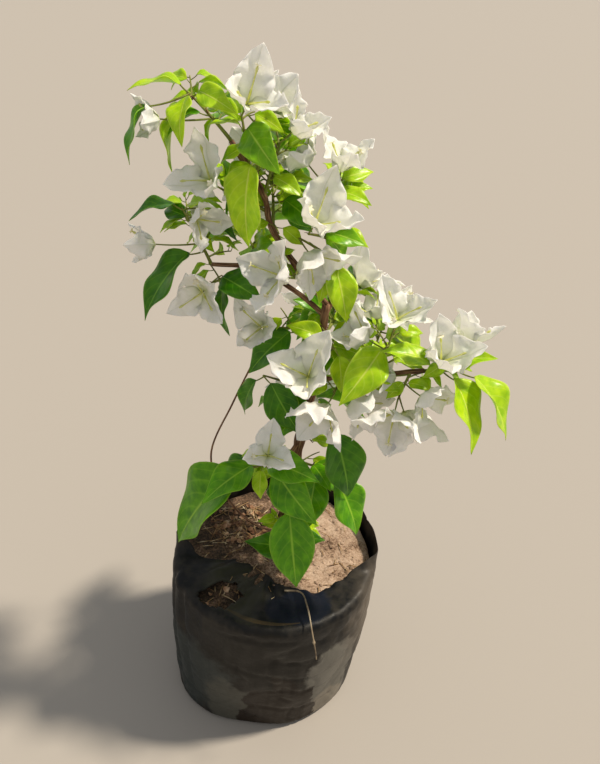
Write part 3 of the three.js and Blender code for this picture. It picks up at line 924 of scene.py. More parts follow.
def grow_finer(spray):
    """Side twigs at the golden angle, all to the far side on a spray whose rows are stated."""
    home, leaves = sprays[spray["name"]][2], sprays[spray["name"]][6]
    by_hand = not isinstance(leaves, int)
    count = round(spray["length"] / TWIG_EVERY)
    for index in range(count):
        turn = (index * GOLDEN + TWIG_SCATTER * next(spray["draw"])) % 360
        heading = mix(*FAR_SIDE, turn / 360) if by_hand else home + turn - 180
        length = mix(*TWIG_LENGTH, next(spray["draw"]))
        share = min((index + TWIG_START) / count, 1)
        yield side_twig(spray, share, heading, mix(*TWIG_LIFT, turn / 360), length, by_hand)


finer = [twig for spray in grown for twig in grow_finer(spray) if twig]
small_leaf_count = sum(len(twig["leaves"]) for twig in finer)
small_bloom_count = sum(len(twig["blossoms"]) for twig in finer)
print(len(finer), "side twigs,", small_leaf_count, "small leaves,", small_bloom_count, "blossoms")

# %% [markdown]
# ## Bark
#
# The stem of a young bougainvillea is pencil thick, grey-brown at its foot and reddish brown
# above, with shallow cracks along it and a small knee where each bough leaves. A curve with a
# bevel would give a smooth pipe, and a bump map alone vanishes at the outline. A grid rolled up
# into a tube lets the cracks and knees be pressed into the mesh, so they show from the side too.

# %% Bark finish
BARK_FIBRE = (1.2, 14)


def bark_finish(name, crack, body, ridge):
    """Young bark: matt and fibrous, with pale cork ridges that run along the limb."""
    material, tree, shader, where = finish_named(name)
    around = add(tree, "UVMap", {"uv_map": "UVMap"})
    scale = (1 / BARK_FIBRE[0], 1 / BARK_FIBRE[1], 1)
    fibres = add(tree, "Mapping", Vector=around, Scale=scale)
    grain = add(tree, "TexNoise", Vector=fibres, Scale=1.0, Detail=6)
    blotch = add(tree, "TexNoise", Vector=where, Scale=per(16), Detail=3)
    shade = add(tree, "Math", "MULTIPLY_ADD", i0=blotch, i1=0.5, i2=grain)
    centred = add(tree, "Math", "SUBTRACT", i0=shade, i1=0.25)
    stops = [(0.32, crack), (0.5, body), (0.72, ridge)]
    colour = add(tree, "ValToRGB", stops=stops, Fac=centred)
    bump = add(tree, "Bump", Strength=0.5, Distance=0.0006, Height=grain)
    feed(tree, shader, Base_Color=colour, Roughness=0.82, Normal=bump)
    return material


bark = bark_finish("young_woody_bark", "#3a2418", "#775039", "#a78664")
green_bark = bark_finish("soft_green_shoot", "#5a4a20", "#7f8a36", "#a9ab5c")
print("bark fibres in millimetres", BARK_FIBRE)


# %% Tubes along a curve
# How often the bark's noise turns round a limb and steps along it.
BARK_LUMPS = (2.2, 0.11)
BARK_CRACKS = (6, 0.3)
CRACK_SHARE = 0.6


def turning_frames(points):
    """Two unit vectors across a row of points, turned as little as can be."""
    across = Vector((0, 1, 0))
    frames = []
    for index, point in enumerate(points):
        before = points[max(index - 1, 0)]
        after = points[min(index + 1, len(points) - 1)]
        ahead = (after - before).normalized()
        if abs(across.dot(ahead)) > 0.95:
            across = Vector((1, 0, 0))
        across = (across - ahead * across.dot(ahead)).normalized()
        frames.append((across.copy(), ahead.cross(across)))
    return frames


def limb_skin(curve, radius, sides, steps, relief=0.0, flat_foot=False):
    """A tube along a curve, its radius a function of the share, roughened by relief."""
    points = [curve(step / steps) for step in range(steps + 1)]
    frames = turning_frames(points)
    if flat_foot:
        frames[0] = (Vector((0, 1, 0)), Vector((-1, 0, 0)))
    long = sum((b - a).length for a, b in zip(points, points[1:]))

    def place(around, share):
        step = round(share * steps)
        angle = around * 2 * math.pi
        first, second = frames[step]
        spoke = first * math.cos(angle) + second * math.sin(angle)
        lump, crack = [
            noise.noise(Vector((math.cos(angle) * often, math.sin(angle) * often, step * rise)))
            for often, rise in (BARK_LUMPS, BARK_CRACKS)
        ]
        reach = radius(share) * (1 + relief * (lump + CRACK_SHARE * crack))
        return points[step] + spoke * reach

    round_it = 2 * math.pi * radius(0.5)
    return sheet(sides, steps, place, closed=True, span=(round_it, long))


# %% Trunk and boughs
FLARE = 0.55
FLARE_HEIGHT = 14
KNEE = 0.22
KNEE_REACH = 7
BARK_RELIEF = 0.16
MEASURED_STEPS = 30
# Faces round a limb and along it.
TRUNK_GRID = (28, 90)
BOUGH_GRID = (16, 44)


def knees_of(name):
    """Shares along a limb where something leaves it."""
    boughs = [limb["grows"][1] for limb in limbs.values() if limb.get("grows", [""])[0] == name]
    stems = [spray[1] for spray in sprays.values() if spray[0] == name]
    return [share for share in boughs + stems if share < 0.99]


def grow_limb(name):
    limb = limbs[name]
    curve = limb_curve(name)
    is_trunk = name == "trunk"
    sides, steps = TRUNK_GRID if is_trunk else BOUGH_GRID
    marks = [curve(step / MEASURED_STEPS) for step in range(MEASURED_STEPS + 1)]
    length = sum((a - b).length for a, b in zip(marks, marks[1:]))
    knees = knees_of(name)
    low = limb["points"][0][2]

    def radius(share):
        knee = sum(swell(share * length, at * length, KNEE_REACH) for at in knees)
        foot = 0.0 if "grows" in limb else FLARE * math.exp(-(curve(share).z - low) / FLARE_HEIGHT)
        return mix(*limb["radius"], share) * (1 + KNEE * min(knee, 1) + foot)

    return limb_skin(curve, radius, sides, steps, BARK_RELIEF, flat_foot=is_trunk)


for name in limbs:
    made = piece(name + "_bark", grow_limb(name), bark)
    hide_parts(name)

# %% [markdown]
# ## Green stems, leaf stalks and thorns
#
# A spray's stem is still green, and so are the thin stalks of leaves and blossoms. A curved
# thorn stands in the axil of most leaves, as on every bougainvillea. A skin modifier over a
# skeleton of edges would join them smoothly, but it swells at each fork of such thin stems, so
# all are thin tubes with their feet sunk in the stem, joined into one piece. Three thorns to a
# stem are enough to be seen between the leaves.

# %% Stems and stalks
STALK_SIDES = 7
STEM_SIDES = 8
STEM_WIDTH = (1.5, 0.8)
STALK_WIDTH = (0.8, 0.55)
STEM_RELIEF = 0.1
# How many rings a main stem and a side twig have, and how far a stalk sags.
MAIN_STEPS = 16
SIDE_STEPS = 7
LEAF_SAG = -0.1
BLOSSOM_SAG = -0.06
FULL_STALK = 40
STALK_ENDS_AT = 0.03


def thin_tube(start, end, bow, radii, steps=6, sides=STALK_SIDES):
    middle = start.lerp(end, 0.5) + bow
    return limb_skin(arch(start, middle, end), lambda s: mix(*radii, s), sides, steps)


def stems_and_stalks(stems, widths, steps):
    """The tube of each stem, and the stalks of its leaves and blossoms, each sagging a little."""
    for stem in stems:
        yield limb_skin(stem["curve"], lambda s: mix(*widths, s), STEM_SIDES, steps, STEM_RELIEF)
        for leaf in stem["leaves"]:
            foot, blade = leaf["foot"], leaf["blade"]
            sag = UP * (LEAF_SAG * (blade["root"] - foot).length)
            thin = clamp(blade["length"] / FULL_STALK, 0.5, 1)
            stalk = [width * thin for width in STALK_WIDTH]
            yield thin_tube(foot, blade_point(blade, STALK_ENDS_AT, 0), sag, stalk)
        for bloom in stem["blossoms"]:
            sag = UP * (BLOSSOM_SAG * (bloom["heart"] - bloom["foot"]).length)
            yield thin_tube(bloom["foot"], bloom["heart"], sag, STALK_WIDTH)


tubes = [
    *stems_and_stalks(grown, STEM_WIDTH, MAIN_STEPS),
    *stems_and_stalks(finer, TWIG_RADII, SIDE_STEPS),
]
piece("green_twigs", joined(tubes), green_bark)

# %% Thorns
THORN_PLACES = (0.25, 0.55, 0.85)
THORN_LENGTH = (4.5, 8)
THORN_WIDTH = (0.75, 0.06)
THORN_BOW = 0.6
THORN_LIFT = 20
THORN_FOLLOWS = 0.9


def thorns_of(stems):
    draw = seeded(301)
    for stem in stems:
        for share in THORN_PLACES:
            foot = stem["curve"](share)
            turn = 360 * next(draw)
            aim = (direction(turn, THORN_LIFT) + stem["aim"] * THORN_FOLLOWS).normalized()
            tip = foot + aim * mix(*THORN_LENGTH, next(draw))
            yield thin_tube(foot, tip, UP * THORN_BOW, THORN_WIDTH, steps=5, sides=6)


thorns = piece("thorns", joined(thorns_of(grown)), bark)

# %% [markdown]
# ## Leaves
#
# A bougainvillea leaf is a soft pointed oval with a waxy upper face, folded a little along its
# pale midrib, its edge gently waved and its tip drawn out. Young ones are lime green, old ones
# deep green, and all glow when the sun stands behind them. A picture of a leaf on a flat card
# would be quick, but its outline would be see-through and its fold would be missing. Each leaf
# here is a grid bent by the source's own blade formula, so it lies where its solid lies, then
# waved, curled at its tip and made a thin shell. Four plain tints are dealt out by spray, and the
# smallest leaves all take the youngest.

# %% Where a point lies on a blade
def on_blade(tree, width, strength):
    """How far along a blade, how far aside from its midrib, and the midrib's own mark."""
    across, along = add(tree, "SeparateXYZ", Vector=add(tree, "UVMap")).outputs[:2]
    centred = add(tree, "Math", "SUBTRACT", i0=across, i1=0.5)
    aside = add(tree, "Math", "ABSOLUTE", i0=centred)
    midrib = add(tree, "MapRange", Value=aside, i1=0.008, i2=width, i3=strength, i4=0.0)
    return along, aside, midrib


# %% Leaf finish
TISSUE_CLOUD = 9
LEAF_CELL = 1.1
VEIN_PAIRS = 6
VEIN_SLANT = -0.9
LIGHT_DEPTH = 0.002


def leaf_finish(name, deep, body, vein_and_rim_colour):
    """Waxy leaf: satin skin over soft tissue that lets light through, paler veins, painted edge
    glow.
    """
    material, tree, shader, where = finish_named(name)
    along, aside, midrib = on_blade(tree, 0.035, 0.75)
    curved = add(tree, "Math", "POWER", i0=aside, i1=1.4)
    slant = add(tree, "Math", "MULTIPLY_ADD", i0=curved, i1=VEIN_SLANT, i2=along)
    many = add(tree, "Math", "MULTIPLY", i0=slant, i1=VEIN_PAIRS)
    saw = add(tree, "Math", "PINGPONG", i0=many, i1=0.5)
    side = add(tree, "MapRange", Value=saw, i1=0.0, i2=0.1, i3=0.22, i4=0.0)
    ribs = add(tree, "Math", "MAXIMUM", i0=midrib, i1=side)
    # A painted glow where light shines through the leaf's edge, halfway to the vein colour.
    painted_rim_glow = add(tree, "MapRange", Value=aside, i1=0.45, i2=0.5, i3=0.0, i4=0.5)
    # The veins, with the painted edge glow among them.
    veins = add(tree, "Math", "MAXIMUM", i0=ribs, i1=painted_rim_glow)
    cloud = add(tree, "TexNoise", Vector=where, Scale=per(TISSUE_CLOUD), Detail=4)
    tissue = add(tree, "ValToRGB", stops=[(0.32, deep), (0.66, body)], Fac=cloud)
    colour = add(tree, "Mix", COLOURS, Factor=veins, A=tissue, B=paint(vein_and_rim_colour))
    cells = add(tree, "TexNoise", Vector=where, Scale=per(LEAF_CELL), Detail=2)
    height = add(tree, "Math", "MULTIPLY_ADD", i0=cells, i1=0.3, i2=veins)
    bump = add(tree, "Bump", Strength=0.3, Distance=0.0004, Height=height)
    feed(
        tree, shader, Base_Color=colour, Roughness=0.3, Specular_IOR_Level=0.25, Normal=bump,
        Subsurface_Weight=0.5, Subsurface_Radius=(0.85, 1.0, 0.1), Subsurface_Scale=LIGHT_DEPTH,
    )
    return material


tints = {
    "young": leaf_finish("lime_young_leaf", "#88b50a", "#b0d41c", "#d2e66a"),
    "fresh": leaf_finish("fresh_green_leaf", "#568f06", "#80b614", "#b2d050"),
    "full": leaf_finish("full_green_leaf", "#3a7a08", "#62a00c", "#9cc440"),
    "deep": leaf_finish("deep_green_leaf", "#265c04", "#407c0a", "#7aa836"),
}
tint_order = list(tints)
print("leaf tints", tint_order)

# %% One leaf
LEAF_THICK = 0.35
LEAF_TIP = (0.6, 0.3, 1.5)
ANY_PHASE = 6.28
WAVE = {"high": 0.07, "often": 9, "other_edge": 1.3, "to_edge": 1.6}
QUILT = 0.03
TWIST = 0.06
CURL = 0.3
CURL_FROM = 0.55


def drawn_out(t, start, slim, power):
    """Slims a blade's outline from a share of its length to its tip."""
    return 1 - slim * clamp((t - start) / (1 - start)) ** power


def leaf_edge(form, t):
    """The source's outline with the tip drawn out to a fine point."""
    return outline(form, t) * drawn_out(t, *LEAF_TIP)


def leaf_mesh(blade, draw, slot, grid):
    """A leaf quilted between its veins, its edge waved and its tip curled down or up."""
    phase = next(draw) * ANY_PHASE
    twist = (next(draw) - 0.5) * TWIST
    curl = CURL * mix(-0.5, 1, next(draw))
    length = blade["length"]

    def place(across, along):
        side = across * 2 - 1
        point = blade_point(blade, along, side, leaf_edge)
        wide = outline(blade["form"], along)
        start = phase + (WAVE["other_edge"] if side > 0 else 0)
        wave = math.sin(along * WAVE["often"] + start) * abs(side) ** WAVE["to_edge"]
        quilt = math.cos((along - 0.25 * abs(side) ** 1.4) * VEIN_PAIRS * 2 * math.pi)
        quilt *= abs(side) * (1 - abs(side)) * QUILT
        lean = twist * side * along**2
        tip = curl * max(along - CURL_FROM, 0) ** 2
        bent = wide * (wave * WAVE["high"] + quilt + lean) - tip
        return point + blade["face"] * (length * bent)

    return sheet(*grid, place, thick=-LEAF_THICK, slot=slot)


# %% All leaves
LARGE_GRID = (10, 20)
SMALL_GRID = (4, 7)
YOUNG_LENGTH = 29


def leaves_of(stems, seed, grid):
    draw = seeded(seed)
    for leaf in [leaf for stem in stems for leaf in stem["leaves"]]:
        is_young = leaf["blade"]["length"] < YOUNG_LENGTH
        slot = 0 if is_young else tint_order.index(leaf["tint"])
        yield leaf_mesh(leaf["blade"], draw, slot, grid)


leaves = piece("leaves", joined(leaves_of(grown, 302, LARGE_GRID)), *tints.values())
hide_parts(*sprays)
small_leaves = piece("small_leaves", joined(leaves_of(finer, 307, SMALL_GRID)), *tints.values())

# %% [markdown]
# ## Blossom
#
# What looks like a white petal is a bract, a leaf as thin as tissue paper, three of them round
# three slim tube flowers. Cloth simulation could crumple such paper, but a hundred bracts would
# take minutes. Each is a grid again, cupped like a spoon, with a channel along its midrib, a
# ruffled edge, and crumples from noise at the scale of its creases.

# %% Bract finish
BRACT_NET = 4.5
BRACT_CRINKLE = 6


def bract_finish():
    """Papery bract: dry, matt and thin, with a fine net of veins and a greenish root."""
    material, tree, shader, where = finish_named("papery_white_bract")
    along, _, midrib = on_blade(tree, 0.03, 0.8)
    edges = {"feature": "DISTANCE_TO_EDGE"}
    cells = add(tree, "TexVoronoi", edges, Vector=where, Scale=per(BRACT_NET))
    net = add(tree, "MapRange", Value=cells, i1=0.0, i2=0.07, i3=0.3, i4=0.0)
    veins = add(tree, "Math", "MAXIMUM", i0=midrib, i1=net)
    stops = [(0.0, "#bccb78"), (0.14, "#e9ecd4"), (0.4, "#f7f5ef")]
    tissue = add(tree, "ValToRGB", stops=stops, Fac=along)
    colour = add(tree, "Mix", COLOURS, Factor=veins, A=tissue, B=paint("#e6e8d6"))
    crinkle = add(tree, "TexNoise", Vector=where, Scale=per(BRACT_CRINKLE), Detail=5)
    height = add(tree, "Math", "MULTIPLY_ADD", i0=veins, i1=0.5, i2=crinkle)
    bump = add(tree, "Bump", Strength=0.45, Distance=0.001, Height=height)
    feed(
        tree, shader, Base_Color=colour, Roughness=0.7, Specular_IOR_Level=0.3, Normal=bump,
        Subsurface_Weight=0.6, Subsurface_Radius=(1.0, 0.96, 0.82), Subsurface_Scale=LIGHT_DEPTH,
    )
    return material


# %% Bract meshes
BRACT_GRID = (14, 20)
BRACT_THICK = 0.22
BRACT_SLIM = 0.94
BRACT_TIP = (0.55, 0.34, 1.3)
UNEVEN_EDGE = {"high": 0.05, "often": 17}
RUFFLE = {"high": 0.1, "often": 11, "slant": 1.7, "to_edge": 1.6}
FINE_RUFFLE = {"high": 0.05, "often": 27, "slant": -2, "to_edge": 3}
CUP = 0.06
CUP_LEVEL = 0.4
CREASE_APART = 9
CRUMPLE = 0.085
CHANNEL = {"deep": 0.05, "wide": 0.16}
TIP_CURL = 0.9
TIP_CURL_FROM = 0.6


def bract_edge(form, t):
    """The source's outline, a little slimmer, with an uneven edge and a drawn-out point."""
    ripple = 1 + UNEVEN_EDGE["high"] * math.sin(t * UNEVEN_EDGE["often"])
    return outline(form, t) * BRACT_SLIM * ripple * drawn_out(t, *BRACT_TIP)


def ruffled(kind, along, side, phase):
    """Waves that run along a bract and grow towards its edge."""
    wave = math.sin(along * kind["often"] + phase + side * kind["slant"])
    return wave * abs(side) ** kind["to_edge"] * kind["high"]


def bract_mesh(blade, draw):
    """A bract cupped about its midrib's channel, crumpled, ruffled and curled at its tip."""
    phase = next(draw) * ANY_PHASE
    turn = mix(-1, 1, next(draw))
    length = blade["length"]

    def place(across, along):
        side = across * 2 - 1
        point = blade_point(blade, along, side, bract_edge)
        wide = outline(blade["form"], along)
        ruffle = ruffled(RUFFLE, along, side, phase)
        fine = ruffled(FINE_RUFFLE, along, side, phase * 3)
        crumple = noise.noise(point / CREASE_APART) * CRUMPLE
        channel = CHANNEL["deep"] * swell(side, 0, CHANNEL["wide"])
        cup = (side**2 - CUP_LEVEL) * CUP
        bent = wide * (ruffle + fine + crumple + cup - channel)
        bent += TIP_CURL * turn * max(along - TIP_CURL_FROM, 0) ** 2
        return point + blade["face"] * (length * bent)

    return sheet(*BRACT_GRID, place, thick=-BRACT_THICK)


def bracts_of(blooms):
    draw = seeded(303)
    for bloom in blooms:
        for blade in bloom["blades"]:
            yield bract_mesh(blade, draw)


blooms = [bloom for stem in grown + finer for bloom in stem["blossoms"]]
piece("white_bracts", joined(bracts_of(blooms)), bract_finish())

# %% [markdown]
# The true flowers are slim tubes, yellow-green and a little swollen at foot and mouth. Each lies
# along the midrib of its bract and stands a few millimetres off it. Some have opened into a
# small cream star of five lobes. They could be left out as too small, but they are the yellow
# lines that tell a blossom from crumpled paper.

# %% Finishes with a mottled tone
def mottled_finish(name, roughness, patch, *stops):
    """A surface whose tone changes in patches of so many millimetres."""
    material, tree, shader, where = finish_named(name)
    tone = add(tree, "TexNoise", Vector=where, Scale=per(patch), Detail=2)
    colour = add(tree, "ValToRGB", stops=stops, Fac=tone)
    feed(tree, shader, Base_Color=colour, Roughness=roughness)
    return material


# Soft downy petals: matt, thin and moist, their tone a little uneven.
PETAL = (0.6, 5)
flower_green = mottled_finish(
    "pale_green_flower_tube", *PETAL, (0.35, "#bfc456"), (0.65, "#dadb92")
)
flower_cream = mottled_finish("cream_flower_star", *PETAL, (0.35, "#f3ecb8"), (0.65, "#fbf8e4"))
print("petal roughness and patch", PETAL)

# %% Tube flowers
FLOWER_SHARE = 0.56
FLOWER_LIFT = 4.5
FLOWER_GRID = (8, 12)
FLOWER_RADIUS = 0.5
# Where along the tube it swells, how far and how much, at its foot and at its bud.
FLOWER_FOOT = {"at": 0.22, "long": 0.16, "thick": 0.4}
FLOWER_BUD = {"at": 0.9, "long": 0.09, "thick": 0.6}
BUD_CLOSES = {"from": 0.95, "by": 0.35}
STAR_RADIUS = 3.2
STAR_SIDES = 20
STAR_LOBES = {"many": 5, "least": 0.8, "reach": 0.25}
STAR_THICK = 0.2
STAR_CUP = 0.35
OPEN_SHARE = 0.35


def flower_width(share):
    """Radius along a tube flower: swollen at its foot, slim above, and a bud at its tip."""
    swollen = sum(
        part["thick"] * swell(share, part["at"], part["long"])
        for part in (FLOWER_FOOT, FLOWER_BUD)
    )
    closing = clamp((share - BUD_CLOSES["from"]) / (1 - BUD_CLOSES["from"]))
    return FLOWER_RADIUS + swollen - BUD_CLOSES["by"] * closing


def star(centre, aim, radius):
    """A five-lobed mouth: a disc whose rim is drawn in and out and then cupped."""
    bm = bmesh.new()
    bm.loops.layers.uv.new("UVMap")
    bmesh.ops.create_circle(bm, cap_ends=True, cap_tris=True, segments=STAR_SIDES, radius=radius)
    for vertex in bm.verts:
        angle = math.atan2(vertex.co.y, vertex.co.x)
        lobe = STAR_LOBES["reach"] * math.cos(STAR_LOBES["many"] * angle)
        vertex.co *= STAR_LOBES["least"] + lobe
        vertex.co.z = vertex.co.length * STAR_CUP
    bmesh.ops.solidify(bm, geom=bm.faces[:], thickness=STAR_THICK)
    turn = aim.to_track_quat("Z", "Y").to_matrix().to_4x4()
    bmesh.ops.transform(bm, matrix=Matrix.Translation(centre) @ turn, verts=bm.verts)
    for face in bm.faces:
        face.material_index = 1
    return bm


def flowers_of(blooms):
    draw = seeded(304)
    for bloom in blooms:
        for blade in bloom["blades"]:
            rise = bloom["axis"] * FLOWER_LIFT * mix(0.8, 1.3, next(draw))
            end = blade_point(blade, FLOWER_SHARE * mix(0.8, 1.1, next(draw)), 0) + rise
            start = bloom["heart"] + bloom["axis"] * 0.5
            middle = start.lerp(end, 0.5) + bloom["axis"] * mix(0.5, 2.5, next(draw))
            yield limb_skin(arch(start, middle, end), flower_width, *FLOWER_GRID)
            if next(draw) < OPEN_SHARE:
                aim = (end - middle).normalized()
                yield star(end, aim, STAR_RADIUS * mix(0.8, 1.1, next(draw)))


piece("tube_flowers", joined(flowers_of(blooms)), flower_green, flower_cream)

# %% [markdown]
# ## Grow bag
#
# The bag is a tube of black polythene film, welded flat at its foot and blown out by the soil.
# It has slumped towards the left front, its top is folded in over the soil at the front and
# stands up as a thin rim behind. Cloth simulation would need the soil's push at each point. The
# shape is known from the photo, so the bmesh starts as a ring at the foot and is drawn up by
# extruding its edge, level by level, which is how a skin is lofted by hand.

# %% Bag shape
RIM_RADIUS = 110
FOOT_RADIUS = 100
FOOT_ROUND = 9
FOLD_HEIGHT = 194
FOLD_ROUND = 8
FLAP_ANGLE = 93
BULGE = 22
BULGE_HEADING = -152
BULGE_SPREAD = 64
BULGE_FADE = 0.55
FULL_WIDTH_AT = 120
BAG_SIDES = 240
FILM = 0.5
# At headings round the bag: how flat the film lies over the soil, and its length past the fold,
# as the photo shows its free edge.
FLAP_TURNS = ((-180, 0), (-166, 1), (-20, 1), (-2, 0), (180, 0))
FILM_PAST = (
    (-180, 12), (-170, 20), (-160, 62), (-140, 76), (-117, 76), (-77, 57),
    (-50, 35), (-32, 30), (-20, 21), (-8, 12), (180, 12),
)


def between(table, at):
    """Reads a table of (place, value), eased from each row to the next."""
    for (low, first), (high, second) in zip(table, table[1:]):
        if at <= high:
            share = clamp((at - low) / (high - low))
            return mix(first, second, share * share * (3 - 2 * share))
    return table[-1][1]


def bag_radius(heading, height):
    off = abs((heading - BULGE_HEADING + 540) % 360 - 180)
    slump = math.cos(math.radians(90 * off / BULGE_SPREAD)) ** 2 if off < BULGE_SPREAD else 0
    foot = (1 - height / FOOT_ROUND) ** 2 * FOOT_ROUND if height < FOOT_ROUND else 0
    body = mix(FOOT_RADIUS, RIM_RADIUS, clamp(height / FULL_WIDTH_AT))
    return body + BULGE * slump * (1 - BULGE_FADE * height / FOLD_HEIGHT) - foot


def turned_in(heading):
    """How far the film lies over the soil: 0 where it stands up and 1 where it lies flat."""
    return between(FLAP_TURNS, heading)


# %% Creases in the film
CREASE_BASE = 1.2
# Soft dents: how often they come round the bag, and how deep they are.
DENTS = ((2.1, 2.6), (5, 1.1))
# Sharp creases: a few long ones, then more and shorter puckers. "where" moves the noise along.
CREASES = (
    {"often": 0.9, "tall": 52, "finer": 1.4, "where": (3, 1, 7), "above": 0.72, "deep": 3.4},
    {"often": 2.6, "tall": 70, "finer": 1.7, "where": (0, 0, 0), "above": 0.8, "deep": 5},
)
CREASE_LINE = {"headings": (-122, -70), "soft": 12, "height": 178, "deep": 1.6, "wide": 3}
LEFT_FOLDS = {"headings": (-176, -128), "soft": 14, "deep": 3.2, "apart": 13, "full_at": 60}
SMOOTH_BELOW = 14


def round_the_bag(heading, often, height, tall):
    """A place for noise that turns so often round the bag and rises once in so many mm."""
    turn = math.radians(heading)
    return Vector((math.cos(turn) * often, math.sin(turn) * often, height / tall))


def ridged(point):
    """Noise with sharp crests, as creases in film have."""
    return 1 - abs(noise.noise(point)) * 2


def within(span, at, soft):
    """1 inside a span of headings, and down to 0 over a soft edge."""
    return clamp((at - span[0]) / soft) * clamp((span[1] - at) / soft)


def sharp_crease(kind, heading, height):
    spot = round_the_bag(heading, kind["often"], height, kind["tall"]) * kind["finer"]
    return clamp(ridged(spot + Vector(kind["where"])) - kind["above"]) * kind["deep"]


def line_dip(flat, heading, height):
    """The crease that runs level along the flap."""
    line = CREASE_LINE
    wander = 2 * noise.noise(flat * 3)
    dip = line["deep"] * swell(height - wander, line["height"], line["wide"])
    return dip * within(line["headings"], heading, line["soft"])


def left_drape(heading, height):
    """The folds that hang side by side at the left."""
    hang = LEFT_FOLDS
    lean = heading + height * 0.05 + 5 * noise.noise(Vector((0, 0, height / 60)))
    wave = 0.5 - 0.5 * math.cos(2 * math.pi * lean / hang["apart"])
    drape = hang["deep"] * wave**3 * clamp(height / hang["full_at"])
    return drape * within(hang["headings"], heading, hang["soft"])


def crease(heading, height):
    """How far the film stands in from its smooth shape: soft dents and sharp creases."""
    flat = round_the_bag(heading, 1, height, RIM_RADIUS)
    dent = sum(noise.noise(flat * often) * deep for often, deep in DENTS)
    sharp = sum(sharp_crease(kind, heading, height) for kind in CREASES)
    placed = line_dip(flat, heading, height) + left_drape(heading, height)
    return (CREASE_BASE + dent + sharp + placed) * clamp(height / SMOOTH_BELOW)


# %% Bag mesh
WALL_LEVELS = 70
FOLD_LEVELS = 8
FLAP_LEVELS = 18
FLOOR_LEVELS = 6
# Rings stand closer together at the foot of the wall and where the flap starts.
WALL_EASE = 1.12
FLAP_EASE = 1.4
FLAP_FLAT_AT = 60
FLAP_SAG = 4
FLAP_PLEAT = 9
FLAP_DIMPLE = 3
RAGGED = 2.5


def film_radius(heading, height):
    return bag_radius(heading, height) - FILM / 2 - max(crease(heading, height), 0)


def wall_point(heading, height):
    return direction(heading, 0) * film_radius(heading, height) + UP * max(height, FILM / 2)


def past_fold(heading, length):
    """A point on the film, length beyond where it starts to bend over."""
    angle = math.radians(FLAP_ANGLE * turned_in(heading))
    bent = min(length / FOLD_ROUND, angle)
    start = FOLD_HEIGHT - FOLD_ROUND
    inward = FOLD_ROUND * (1 - math.cos(bent))
    upward = FOLD_ROUND * math.sin(bent)
    rest = max(length - FOLD_ROUND * angle, 0)
    inward += rest * math.sin(angle)
    upward += rest * math.cos(angle)
    share = clamp(rest / FLAP_FLAT_AT)
    pleat = noise.noise(round_the_bag(heading, 3.4, rest, 45)) * FLAP_PLEAT
    dimple = noise.noise(round_the_bag(heading, 9, rest, 18)) * FLAP_DIMPLE
    lift = (pleat + dimple) * min(share * 1.6, 1) - FLAP_SAG * share
    out = direction(heading, 0) * (film_radius(heading, start) - inward)
    return out + UP * (start + upward + lift * turned_in(heading))


def free_edge(heading):
    """The film's torn free edge is never quite even."""
    ragged = noise.noise(round_the_bag(heading, 6, 4, 1)) * RAGGED
    return between(FILM_PAST, heading) + FOLD_ROUND + ragged


def bag_ring(level):
    """Where each of the bag's rings lies: floor, wall, then the film past the fold."""
    if level < FLOOR_LEVELS:
        share = (level + 1) / (FLOOR_LEVELS + 1)
        return lambda h: direction(h, 0) * (bag_radius(h, 0) * share) + UP * FILM / 2
    level -= FLOOR_LEVELS
    if level < WALL_LEVELS:
        height = (FOLD_HEIGHT - FOLD_ROUND) * (level / WALL_LEVELS) ** WALL_EASE
        return lambda h: wall_point(h, height)
    share = (level - WALL_LEVELS) / (FOLD_LEVELS + FLAP_LEVELS)
    return lambda h: past_fold(h, free_edge(h) * share**FLAP_EASE)


def loft_bag():
    bm = bmesh.new()
    verts = bmesh.ops.create_circle(bm, cap_ends=True, segments=BAG_SIDES, radius=1)["verts"]
    headings = {v: math.degrees(math.atan2(v.co.y, v.co.x)) for v in verts}
    edges = [edge for edge in bm.edges if edge.verts[0] in headings and edge.verts[1] in headings]
    levels = FLOOR_LEVELS + WALL_LEVELS + FOLD_LEVELS + FLAP_LEVELS
    for level in range(levels + 1):
        place = bag_ring(level)
        for vertex, heading in headings.items():
            vertex.co = place(heading)
        if level < levels:
            before = {tuple(v.co): heading for v, heading in headings.items()}
            drawn_up = bmesh.ops.extrude_edge_only(bm, edges=edges)["geom"]
            edges = [item for item in drawn_up if isinstance(item, bmesh.types.BMEdge)]
            verts = [item for item in drawn_up if isinstance(item, bmesh.types.BMVert)]
            headings = {v: before[tuple(v.co)] for v in verts}
    return bm


# %% [markdown]
# There is a torn hole in the flap at the left front, through which dry litter shows. A boolean
# would cut it cleanly, and film doesn't tear cleanly. So the faces inside a wandering outline
# are deleted, and the edge round it is lifted a little where the film has torn.

# %% Torn hole and thickness
HOLE_PLACE = Vector((-56, -67, 0))
HOLE_SIZE = (23, 15)
HOLE_TURN = -30
HOLE_WANDER = 0.35
TORN_ABOVE = FOLD_HEIGHT - 12
LIFTED_TO = 1.5
LIFT = 3


def hole_share(point):
    """Under 1 inside the torn hole, whose outline wanders."""
    off = point - HOLE_PLACE
    turned = Matrix.Rotation(math.radians(HOLE_TURN), 3, "Z") @ Vector((off.x, off.y, 0))
    wander = 1 + HOLE_WANDER * noise.noise(point * 0.08)
    return math.hypot(turned.x / HOLE_SIZE[0], turned.y / HOLE_SIZE[1]) * wander


def tear(bm):
    gone = [face for face in bm.faces if face.calc_center_median().z > TORN_ABOVE]
    gone = [face for face in gone if hole_share(face.calc_center_median()) < 1]
    bmesh.ops.delete(bm, geom=gone, context="FACES")
    for vertex in bm.verts:
        share = hole_share(vertex.co)
        if vertex.co.z > TORN_ABOVE and share < LIFTED_TO:
            vertex.co.z += (LIFTED_TO - share) * LIFT * (0.4 + noise.noise(vertex.co * 0.2))


bag = loft_bag()
tear(bag)
bmesh.ops.recalc_face_normals(bag, faces=bag.faces)
bmesh.ops.solidify(bag, geom=bag.faces[:], thickness=FILM)
print("bag", len(bag.faces), "faces")
